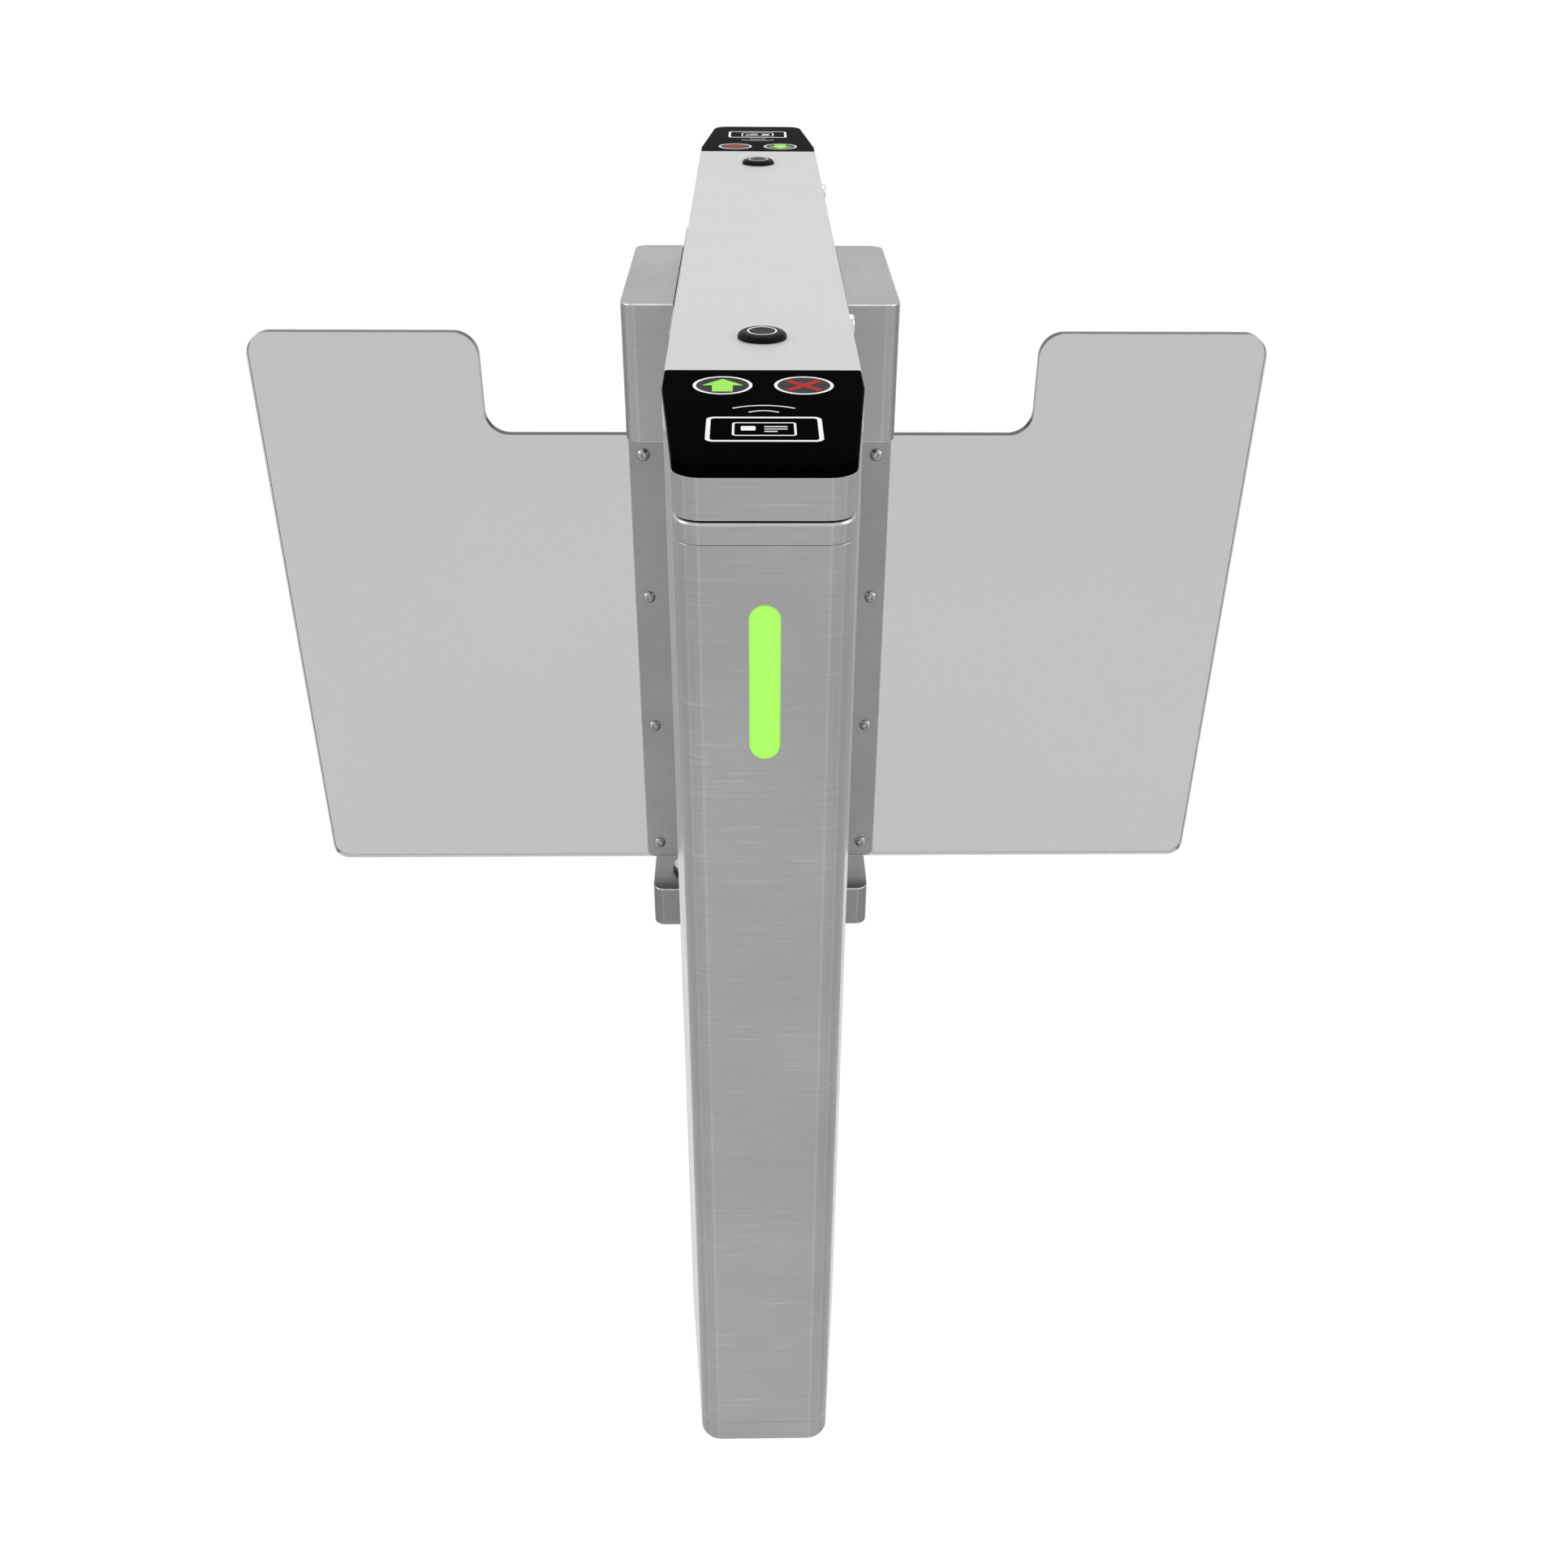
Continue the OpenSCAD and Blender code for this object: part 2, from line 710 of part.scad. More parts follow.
// Leaf of a hinge on the left side: a plate beside the knuckles of its own side
module hinge_leaf(z0, z1, near, mine) {
    x0 = -(half_w + 0.2 + leaf_t);
    difference() {
        union() {
            block([x0, -hinge_l / 2, z0], [x0 + leaf_t, hinge_l / 2, z1]);
            for (i = mine) {
                y_rod(axis_pin[0], axis_pin[2], knuckle(i) + 0.15, knuckle(i + 1) - 0.15, knuckle_r);
                block([x0, knuckle(i) + 0.15, min(near, axis_pin[2])],
                      [x0 + leaf_t, knuckle(i + 1) - 0.15, max(near, axis_pin[2])]);
            }
        }
        y_rod(axis_pin[0], axis_pin[2], -hinge_l, hinge_l, hinge_pin_r + run_gap);
    }
}

module hinge_frame_leaves() {
    top = axis_pin[2] - knuckle_r - 0.5;
    color("gray") for (y = [-hinge_y, hinge_y])
        translate([0, y, 0]) hinge_leaf(top - leaf_h, top, top - over, [0, 2]);
}

module hinge_lid_leaves() {
    low = axis_pin[2] + knuckle_r + 0.5;
    color("gray") for (y = [-hinge_y, hinge_y])
        translate([0, y, 0]) hinge_leaf(low, low + leaf_h, low + over, [1]);
}

module hinge_pins() {
    color("silver") for (y = [-hinge_y, hinge_y])
        translate([0, y, 0]) {
            y_rod(axis_pin[0], axis_pin[2], -hinge_l / 2 - 0.5, hinge_l / 2 + 0.5, hinge_pin_r);
            for (s = [-1, 1])
                y_rod(axis_pin[0], axis_pin[2], s * (hinge_l / 2 + 1) - 0.9,
                      s * (hinge_l / 2 + 1) + 0.9, hinge_pin_r + 1);
        }
}

// Lid: walls, an inward flange below, ledges for the top plate and a deck under each panel
module lid_tray() {
    mid = panel_y - seam / 2;
    tray_end = panel_y + tray_lap;
    color("silver") difference() {
        union() {
            band(lid_low, panel_low, 0, wall);
            slab(lid_low, lid_low + wall, wall);
            slab(panel_low - wall, panel_low, wall);
            intersection() {
                union() {
                    band(lid_low, lid_plate_low, 0, wall);
                    slab(lid_plate_low - wall, lid_plate_low, wall);
                }
                zone(-mid, mid, 0, lid_top_z);
            }
        }
        difference() {
            slab(lid_low - over, lid_top_z, wall + lid_flange);
            turned([-1, 1])
                zone(tray_end, half_l + over, panel_low - wall, panel_low);
        }
        intersection() {
            slab(panel_low - wall - over, panel_low + over, wall);
            zone(-tray_end, tray_end, 0, lid_top_z);
        }
        turned([-1, 1]) {
            zone(tray_end - seam / 2, tray_end + seam / 2, 0, lid_top_z);
            block([-reader_w / 2 + reader_rest, -half_l + reader_y - reader_l / 2 + reader_rest,
                   panel_low - 2 * wall],
                  [reader_w / 2 - reader_rest, -half_l + reader_y + reader_l / 2 - reader_rest,
                   panel_low + over]);
            for (x = [-guide_x / 2, guide_x / 2])
                z_rod(x, -half_l + guide_y, panel_low - 2 * wall, panel_low + over, guide_d / 2 + fit);
        }
        for (y = [-lock_y, lock_y])
            x_rod(y, lock_z, half_w - 2 * wall, half_w + over, lock_barrel_d / 2 + fit);
    }
}

module lid_top() {
    color("gainsboro") difference() {
        intersection() {
            slab(lid_plate_low, lid_top_z, 0);
            zone(-panel_y + seam / 2, panel_y - seam / 2, 0, lid_top_z + over);
        }
        for (y = [-button_y, button_y])
            z_rod(0, y, lid_plate_low - over, lid_top_z + over, stem_r + fit);
    }
}
stem_r = cap_d / 2 + 4;

module panel() {
    color([0.03, 0.03, 0.03]) intersection() {
        slab(panel_low, lid_top_z, 0);
        zone(-half_l - over, -panel_y - seam / 2, 0, lid_top_z + over);
    }
}

module card_readers() {
    color([0.1, 0.1, 0.1]) turned([-1, 1]) {
        y = -half_l + reader_y;
        block([-reader_w / 2, y - reader_l / 2, panel_low - wall - 14],
              [reader_w / 2, y + reader_l / 2, panel_low - wall]);
        block([-reader_w / 2 + reader_in, y - reader_l / 2 + reader_in, panel_low - wall - over],
              [reader_w / 2 - reader_in, y + reader_l / 2 - reader_in, panel_low - fit]);
    }
}

module light_guides() {
    color("white") turned([-1, 1])
        for (x = [-guide_x / 2, guide_x / 2]) {
            z_rod(x, -half_l + guide_y, panel_low - wall - 3, panel_low - wall - fit, guide_d / 2 + 3);
            z_rod(x, -half_l + guide_y, panel_low - wall - over, panel_low - fit, guide_d / 2);
        }
}

module indicator_boards() {
    top = panel_low - wall - 3;
    y = -half_l + guide_y;
    side = guide_d / 2 + 5.5;
    color("green") turned([-1, 1]) {
        block([-guide_x / 2 - side, y - side, top - 1.6], [guide_x / 2 + side, y + side, top]);
        block([-12, y - 8, top - 6], [12, y + 8, top - 1]);
    }
}

// Barrel of a cam lock in the right wall of the lid, with its nut inside
module lock_bodies() {
    color("gainsboro") for (y = [-lock_y, lock_y]) difference() {
        union() {
            x_rod(y, lock_z, half_w + fit, half_w + lock_proud - 1.5, lock_head_d / 2);
            x_rod(y, lock_z, half_w + fit, half_w + lock_proud, lock_head_d / 2 - 1.5);
            x_rod(y, lock_z, barrel_x, half_w + lock_proud - 1, lock_barrel_d / 2);
            x_rod(y, lock_z, half_w - wall - 4, half_w - wall - fit, lock_head_d / 2 + 1.5, 6);
        }
        x_rod(y, lock_z, barrel_x - over, half_w + lock_proud + over, lock_plug_d / 2 + run_gap);
    }
}

// Turning plug with the key slot and the hooked cam, which points along the lid when unlocked
module lock_cam(y0) {
    face = half_w + lock_proud - 0.3;
    hook = 5.5;
    color("gold") translate([0, y0, lock_z]) {
        difference() {
            x_rod(0, 0, barrel_x - 4, face, lock_plug_d / 2);
            block([face - 3, -0.6, -lock_plug_d / 2 + 1.2], [face + over, 0.6, lock_plug_d / 2 - 1.2]);
        }
        difference() {
            union() {
                x_rod(0, 0, barrel_x - 4, barrel_x - 0.5, lock_plug_d / 2 + 3);
                block([barrel_x - 4, 0, -5], [barrel_x - 1, cam_r - 1, 5]);
                intersection() {
                    difference() {
                        x_rod(0, 0, barrel_x - 4, barrel_x - 1, cam_r);
                        x_rod(0, 0, barrel_x - 5, barrel_x, cam_r - hook);
                    }
                    block([barrel_x - 5, cam_r * cos(30), -cam_r * sin(30)], [barrel_x, cam_r, 5]);
                }
            }
        }
    }
}

module button_bezels() {
    color([0.05, 0.05, 0.05]) for (y = [-button_y, button_y]) difference() {
        union() {
            z_rod(0, y, lid_top_z + fit, lid_top_z + bezel_side, bezel_d / 2);
            z_cone(0, y, lid_top_z + bezel_side, lid_top_z + bezel_h, bezel_d / 2, bezel_d / 2 - bezel_slope);
            z_rod(0, y, lid_top_z - stem_l, lid_top_z + over, stem_r);
            z_rod(0, y, lid_plate_low - 5, lid_plate_low - fit, stem_r + 4, 6);
        }
        z_rod(0, y, lid_top_z - stem_l + 2, lid_top_z + bezel_h + over, cap_d / 2 + cap_gap);
    }
}
stem_l = 16;
cap_gap = 0.2;
// Height of a bezel's upright side, and how far its shoulder draws in above it
bezel_side = 1.4;
bezel_slope = 5.5;

module request_button(y0) {
    color([0.15, 0.15, 0.15]) {
        z_rod(0, y0, lid_top_z - stem_l + 2 + cap_travel + 0.4, lid_top_z + bezel_h - 0.6, cap_d / 2);
        z_rod(0, y0, lid_top_z, lid_top_z + bezel_h + 0.4, cap_d / 2 - 1);
    }
}

// Outline of the right wing's glass, with X to the right and Z up
module glass_outline() {
    difference() {
        union() {
            translate([glass_inner, glass_low])
                square([glass_edge - glass_inner, notch_z - glass_low]);
            translate([notch_x, notch_z - over])
                square([glass_edge - notch_x, glass_high - notch_z + over]);
            translate([0, 2 * notch_z]) mirror([0, 1])
                corner_cut(notch_x, notch_z, glass_r, 1, 1);
        }
        corner_cut(glass_edge, glass_high, glass_r, 1, 1);
        corner_cut(notch_x, glass_high, glass_r, -1, 1);
        corner_cut(glass_edge, glass_low, glass_low_r, 1, -1);
    }
}

module wing_glass() {
    color([0.75, 0.75, 0.77, 0.6]) difference() {
        translate([0, glass_t / 2, 0]) rotate([90, 0, 0]) linear_extrude(glass_t) glass_outline();
        for (z = screw_z) y_rod(screw_x, z, -glass_t, glass_t, screw_d / 2 + 1);
    }
}

// Both plates of a clamp
module clamp_plates() {
    color("darkgray") for (s = [-1, 1]) difference() {
        translate([0, s * (clamp_face + clamp_t / 2) + clamp_t / 2, 0]) rotate([90, 0, 0])
            linear_extrude(clamp_t) round_rect(clamp_inner, clamp_low, clamp_edge, clamp_high, 6);
        for (z = screw_z) y_rod(screw_x, z, -2 * glass_t, 2 * glass_t, screw_d / 2 + fit);
    }
}

module clamp_gaskets() {
    color("black") for (s = [-1, 1]) difference() {
        translate([0, s * (clamp_face - gasket_t / 2) + gasket_t / 2, 0]) rotate([90, 0, 0])
            linear_extrude(gasket_t) translate([glass_inner, clamp_low + 2])
            square([clamp_edge - 1 - glass_inner, notch_z - clamp_low - 4]);
        for (z = screw_z) y_rod(screw_x, z, -2 * glass_t, 2 * glass_t, screw_d / 2 + 1);
    }
}

// Button-head screws with a hexagon socket, and a cap nut of the same shape behind
module clamp_screws() {
    face = clamp_face + clamp_t;
    color("lightgray") for (z = screw_z) difference() {
        union() {
            y_rod(screw_x, z, -face, face, screw_d / 2);
            for (s = [-1, 1]) translate([screw_x, s * face, z]) rotate([-s * 90, 0, 0])
                rotate_extrude($fn = fine) screw_head_profile();
        }
        for (s = [-1, 1]) translate([screw_x, s * (face + screw_head_h - 2.4), z])
            rotate([-s * 90, 0, 0]) cylinder(3, d = 5.8, $fn = 6);
    }
}

// Half section of a button head: a disc under a shallow dome
module screw_head_profile() {
    r = screw_head_d / 2;
    square([r, 1]);
    intersection() {
        square([r, screw_head_h]);
        translate([0, screw_head_h - 1.25 * r]) circle(1.25 * r, $fn = fine);
    }
}

// Square bar between the clamps, turned round where it runs in bush, seal and bearing
module wing_spindle() {
    color("silver") {
        block([axis_x - shaft_r, -clamp_face, clamp_low], [bar_edge, clamp_face, clamp_high]);
        z_rod(axis_x, 0, bracket_high - bush_l - 6, clamp_low, shaft_r);
        z_rod(axis_x, 0, bracket_high + bush_flange + 0.3, bracket_high + bush_flange + 7, collar_r);
        z_rod(axis_x, 0, clamp_high, gear_low + gear_w + 6, shaft_r);
    }
}

module wheel_gear() {
    color("goldenrod") difference() {
        union() {
            translate([axis_x, 0, gear_low]) gear(wheel_n, 0);
            z_rod(axis_x, 0, gear_low - 2.5, gear_low + gear_w + 4, shaft_r + 6);
        }
        z_rod(axis_x, 0, gear_low - 5, gear_low + gear_w + 9, shaft_r + fit / 2);
        for (a = [0:60:300])
            translate([axis_x, 0, 0]) rotate([0, 0, a])
                z_rod((wheel_r + shaft_r) / 2 + 2, 0, gear_low - over, gear_low + gear_w + over, 5, coarse);
    }
}

module motor_pinion() {
    color("goldenrod") translate([axis_x, motor_y, 0]) {
        translate([0, 0, gear_low]) gear(pinion_n, 180 / pinion_n);
        z_rod(0, 0, deck_low - 24, gear_low + gear_w + 3, pinion_shaft_r);
    }
}

module encoder_pinion() {
    color("goldenrod") translate([axis_x, encoder_y, 0]) {
        translate([0, 0, gear_low]) gear(encoder_n, 180 / encoder_n);
        z_rod(0, 0, deck_low - 18, gear_low + gear_w + 3, encoder_shaft_r);
    }
}

base_frame();
turned([-1]) side_panel();  // side_panel_left
turned([1]) side_panel();  // side_panel_right
turned([1]) end_column();  // end_column_front
turned([-1]) end_column();  // end_column_rear
rim_frame();
inner_frame();
mechanism_plate();
turned([-1]) side_plate();  // side_plate_left
turned([1]) side_plate();  // side_plate_right
turned([-1]) arm_housing();  // arm_housing_left
turned([1]) arm_housing();  // arm_housing_right
turned([-1]) lower_bracket();  // lower_bracket_left
turned([1]) lower_bracket();  // lower_bracket_right
lower_bushes();
upper_bearings();
shaft_seals();
turned([-1]) gear_motor();  // gear_motor_left
turned([1]) gear_motor();  // gear_motor_right
encoders();
turned([1]) light_lens();  // light_lens_front
turned([-1]) light_lens();  // light_lens_rear
light_boards();
sensor_windows();
control_board();
power_supply();
lid_seal();
hinge_frame_leaves();
hinge_pins();
lock_strikes();
lid_tray();
lid_top();
turned([1]) panel();  // panel_front
turned([-1]) panel();  // panel_rear
card_readers();
indicator_boards();
light_guides();
hinge_lid_leaves();
lock_bodies();
button_bezels();
lock_cam(-lock_y);  // lock_cam_front
lock_cam(lock_y);  // lock_cam_rear
request_button(-button_y);  // request_button_front
request_button(button_y);  // request_button_rear
turned([-1]) wing_glass();  // wing_glass_left
turned([1]) wing_glass();  // wing_glass_right
turned([-1]) clamp_plates();  // clamp_plates_left
turned([1]) clamp_plates();  // clamp_plates_right
turned([-1]) clamp_gaskets();  // clamp_gaskets_left
turned([1]) clamp_gaskets();  // clamp_gaskets_right
turned([-1]) clamp_screws();  // clamp_screws_left
turned([1]) clamp_screws();  // clamp_screws_right
turned([-1]) wing_spindle();  // wing_spindle_left
turned([1]) wing_spindle();  // wing_spindle_right
turned([-1]) wheel_gear();  // wheel_gear_left
turned([1]) wheel_gear();  // wheel_gear_right
turned([-1]) motor_pinion();  // motor_pinion_left
turned([1]) motor_pinion();  // motor_pinion_right
turned([-1]) encoder_pinion();  // encoder_pinion_left
turned([1]) encoder_pinion();  // encoder_pinion_right
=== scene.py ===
"""Looks of a swing speed gate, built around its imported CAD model, in metres and in the model's own frame."""

import json
import logging
import math
from dataclasses import dataclass
from enum import Enum
from typing import Callable, Optional, Sequence, Union

import bpy
import numpy as np
from mathutils import Matrix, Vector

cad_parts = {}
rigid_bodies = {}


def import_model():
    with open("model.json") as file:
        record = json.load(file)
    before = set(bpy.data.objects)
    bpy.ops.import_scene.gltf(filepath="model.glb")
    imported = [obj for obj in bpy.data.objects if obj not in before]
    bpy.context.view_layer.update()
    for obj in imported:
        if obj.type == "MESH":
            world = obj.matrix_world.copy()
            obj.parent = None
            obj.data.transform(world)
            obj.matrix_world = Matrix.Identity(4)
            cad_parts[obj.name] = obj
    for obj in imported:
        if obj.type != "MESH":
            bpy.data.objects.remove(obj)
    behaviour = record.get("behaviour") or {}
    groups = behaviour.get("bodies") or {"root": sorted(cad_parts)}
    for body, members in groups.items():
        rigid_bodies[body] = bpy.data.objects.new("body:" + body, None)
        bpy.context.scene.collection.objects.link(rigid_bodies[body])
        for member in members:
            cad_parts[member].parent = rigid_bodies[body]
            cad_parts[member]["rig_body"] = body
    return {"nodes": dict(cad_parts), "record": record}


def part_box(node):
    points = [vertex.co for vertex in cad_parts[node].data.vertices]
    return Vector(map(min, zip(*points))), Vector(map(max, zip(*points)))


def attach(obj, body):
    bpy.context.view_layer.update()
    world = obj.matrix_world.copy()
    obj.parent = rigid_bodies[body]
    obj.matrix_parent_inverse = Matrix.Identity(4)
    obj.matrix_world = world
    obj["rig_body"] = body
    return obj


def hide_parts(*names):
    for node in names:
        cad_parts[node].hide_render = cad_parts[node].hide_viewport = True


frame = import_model()

LOG = logging.getLogger("gate")
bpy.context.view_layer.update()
SLOTS = {part["node"]: part["material_slot"] for part in frame["record"]["subparts"]}
MM = 0.001
FINE_R = 0.3 * MM
TIP_R = 0.2 * MM
LEAST_R = 0.01 * MM
GAP = 0.1 * MM
PAST = 5 * MM
ARC_STEPS = 7
SHARP_TURN = math.radians(38)
NO_LENGTH = 1e-15

Value = Union[float, Sequence[float], bpy.types.NodeSocket]
Corners = Sequence[Sequence[float]]
Radii = Union[float, Sequence[float]]
Outline = Callable[[float], np.ndarray]


class Half(Enum):
    """Which of two like pieces is built: the front or right one, or that one turned half way round."""

    FIRST = 1
    SECOND = -1

    @property
    def end(self) -> str:
        """Name of the cabinet's end where this half's pieces lie."""
        return "front" if self is Half.FIRST else "rear"

    @property
    def side(self) -> str:
        """Name of the cabinet's side where this half's pieces lie."""
        return "right" if self is Half.FIRST else "left"


class Plane(Enum):
    """Plane of a flat outline: the axes of its first and second coordinate, and the one across it."""

    XY = (0, 1, 2)
    YZ = (1, 2, 0)
    XZ = (0, 2, 1)


class Operation(Enum):
    """What is done with a second shape."""

    JOIN = "UNION"
    CUT = "DIFFERENCE"


def moved_sides(points: np.ndarray, shifts: np.ndarray) -> tuple[np.ndarray, np.ndarray, np.ndarray]:
    """Moves each side of a closed outline to its left and finds the new corners.

    A new corner is the old one plus the sum of both sides' normals, weighted so that its distance
    from each old side is that side's shift.

    Args:
        points: Corners in order, one per row.
        shifts: Shift of the side that starts at each corner.

    Returns:
        New corners, and the left normals of the side before and after each corner.
    """
    along = np.roll(points, -1, 0) - points
    along /= np.linalg.norm(along, axis=1)[:, None]
    after = np.stack([-along[:, 1], along[:, 0]], 1)
    before = np.roll(after, 1, 0)
    cosine = (before * after).sum(1)
    last = np.roll(shifts, 1)
    spread = 1 - cosine**2
    share_before = ((last - cosine * shifts) / spread)[:, None]
    share_after = ((shifts - cosine * last) / spread)[:, None]
    return points + share_before * before + share_after * after, before, after


def round_loop(
    points: Corners, radii: Radii, inset: float = 0.0, steps: int = ARC_STEPS,
    shares: Optional[Sequence[float]] = None,
) -> np.ndarray:
    """Closed outline with round corners, drawn in by an inset.

    Each corner is an arc whose centre lies one radius from both sides. An outer corner of a
    counter-clockwise outline loses the inset from its radius, and an inner one gains it.

    Args:
        points: Sharp corners in order.
        radii: Radius of each corner, or one for all.
        inset: How far the sides move inwards.
        steps: Points on each arc.
        shares: Share of the inset that each side takes.

    Returns:
        Points of the outline, one per row.
    """
    corners = np.asarray(points, float)
    shifts = inset * (np.ones(len(corners)) if shares is None else np.asarray(shares, float))
    sharp, before, after = moved_sides(corners, shifts)
    cross = before[:, 0] * after[:, 1] - before[:, 1] * after[:, 0]
    dot = (before * after).sum(1)
    sign = np.sign(cross)
    radius = np.maximum(np.broadcast_to(radii, len(corners)) - sign * inset, LEAST_R)
    centre = sharp + (sign * radius / (1 + dot))[:, None] * (before + after)
    start = np.arctan2(-sign * before[:, 1], -sign * before[:, 0])
    angle = start[:, None] + np.arctan2(cross, dot)[:, None] * np.linspace(0, 1, steps)
    arc = centre[:, None] + radius[:, None, None] * np.stack([np.cos(angle), np.sin(angle)], -1)
    return arc.reshape(-1, 2)


def rounded(points: Corners, radii: Radii, half: Half = Half.FIRST, **options: object) -> Outline:
    """Outline with round corners as a function of its inset, turned half way round for the second half."""
    return lambda inset: half.value * round_loop(points, radii, inset, **options)


def bend_weights(corners: int) -> np.ndarray:
    """Weight 1 in the middle of each corner's arc and 0 at its ends, as a half sine."""
    return np.tile(np.sin(np.pi * np.linspace(0, 1, ARC_STEPS)), corners)


def rectangle(x0: float, y0: float, x1: float, y1: float) -> list[tuple[float, float]]:
    """Corners of a rectangle, counter-clockwise."""
    return [(x0, y0), (x1, y0), (x1, y1), (x0, y1)]


def edge_levels(low: float, high: float, low_r: float, high_r: float, steps: int = 4) -> np.ndarray:
    """Levels of a wall with quarter-round edges, weighted by how far they bend.

    Along each edge the inset and the height follow the sine and the cosine of an angle, as on a quarter
    circle.

    Args:
        low: Lower end of the wall.
        high: Upper end of the wall.
        low_r: Radius of the lower edge.
        high_r: Radius of the upper edge.
        steps: Levels on each quarter round.

    Returns:
        Rows of inset, height and bend weight.
    """
    a = np.linspace(0, np.pi / 2, steps)
    weight = np.sin(2 * a)
    lower = np.stack([low_r * (1 - np.sin(a)), low + low_r * (1 - np.cos(a)), weight], 1)
    upper = np.stack([high_r * (1 - np.cos(a)), high - high_r * (1 - np.sin(a)), weight], 1)
    return np.vstack([lower, upper])


def straight_levels(low: float, high: float) -> np.ndarray:
    """Levels of a wall with sharp edges, as rows of inset, height and bend weight."""
    return np.array([[0, low, 0], [0, high, 0]])


def placed(loop: np.ndarray, height: float, plane: Plane = Plane.XY) -> np.ndarray:
    """Puts a flat outline in space.

    Args:
        loop: Points of the outline.
        height: Height of the outline above its plane.
        plane: Plane that it is parallel to.

    Returns:
        Points, one per row.
    """
    first, second, third = plane.value
    out = np.empty((len(loop), 3))
    out[:, first] = loop[:, 0]
    out[:, second] = loop[:, 1]
    out[:, third] = height
    return out


def circle(radius: float, sides: int = 48) -> np.ndarray:
    """Points of a circle around the origin."""
    a = np.arange(sides) * 2 * np.pi / sides
    return radius * np.stack([np.cos(a), np.sin(a)], 1)


def span(node: str, axis: int = 2) -> tuple[float, float]:
    """Lowest and highest place of a CAD node along an axis, which is the upright one if none is named."""
    low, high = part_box(node)
    return low[axis], high[axis]


def corner_normals(mesh: bpy.types.Mesh) -> np.ndarray:
    """Normals of a mesh's face corners.

    A corner's normal is the sum of the normals of the faces around its vertex, each times its area,
    over the faces that turn less than the sharp limit from the corner's own face.

    Args:
        mesh: Mesh to measure.

    Returns:
        One unit vector per face corner.
    """
    corners = len(mesh.loops)
    vertex = np.empty(corners, int)
    mesh.loops.foreach_get("vertex_index", vertex)
    totals = np.empty(len(mesh.polygons), int)
    mesh.polygons.foreach_get("loop_total", totals)
    area = np.empty(len(totals))
    mesh.polygons.foreach_get("area", area)
    normal = np.empty(len(totals) * 3)
    mesh.polygons.foreach_get("normal", normal)
    normal = normal.reshape(-1, 3)
    face = np.repeat(np.arange(len(totals)), totals)
    order = np.argsort(vertex, kind="stable")
    count = np.bincount(vertex, minlength=len(mesh.vertices))
    first = np.concatenate([[0], np.cumsum(count)[:-1]])
    times = count[vertex]
    own = np.repeat(np.arange(corners), times)
    step = np.arange(times.sum()) - np.repeat(np.cumsum(times) - times, times)
    other = order[first[vertex[own]] + step]
    near = (normal[face[own]] * normal[face[other]]).sum(1) > math.cos(SHARP_TURN)
    around = face[other[near]]
    total = np.zeros((corners, 3))
    np.add.at(total, own[near], normal[around] * area[around][:, None])
    empty = np.linalg.norm(total, axis=1) < NO_LENGTH
    total[empty] = normal[face[empty]]
    return total / np.linalg.norm(total, axis=1)[:, None]


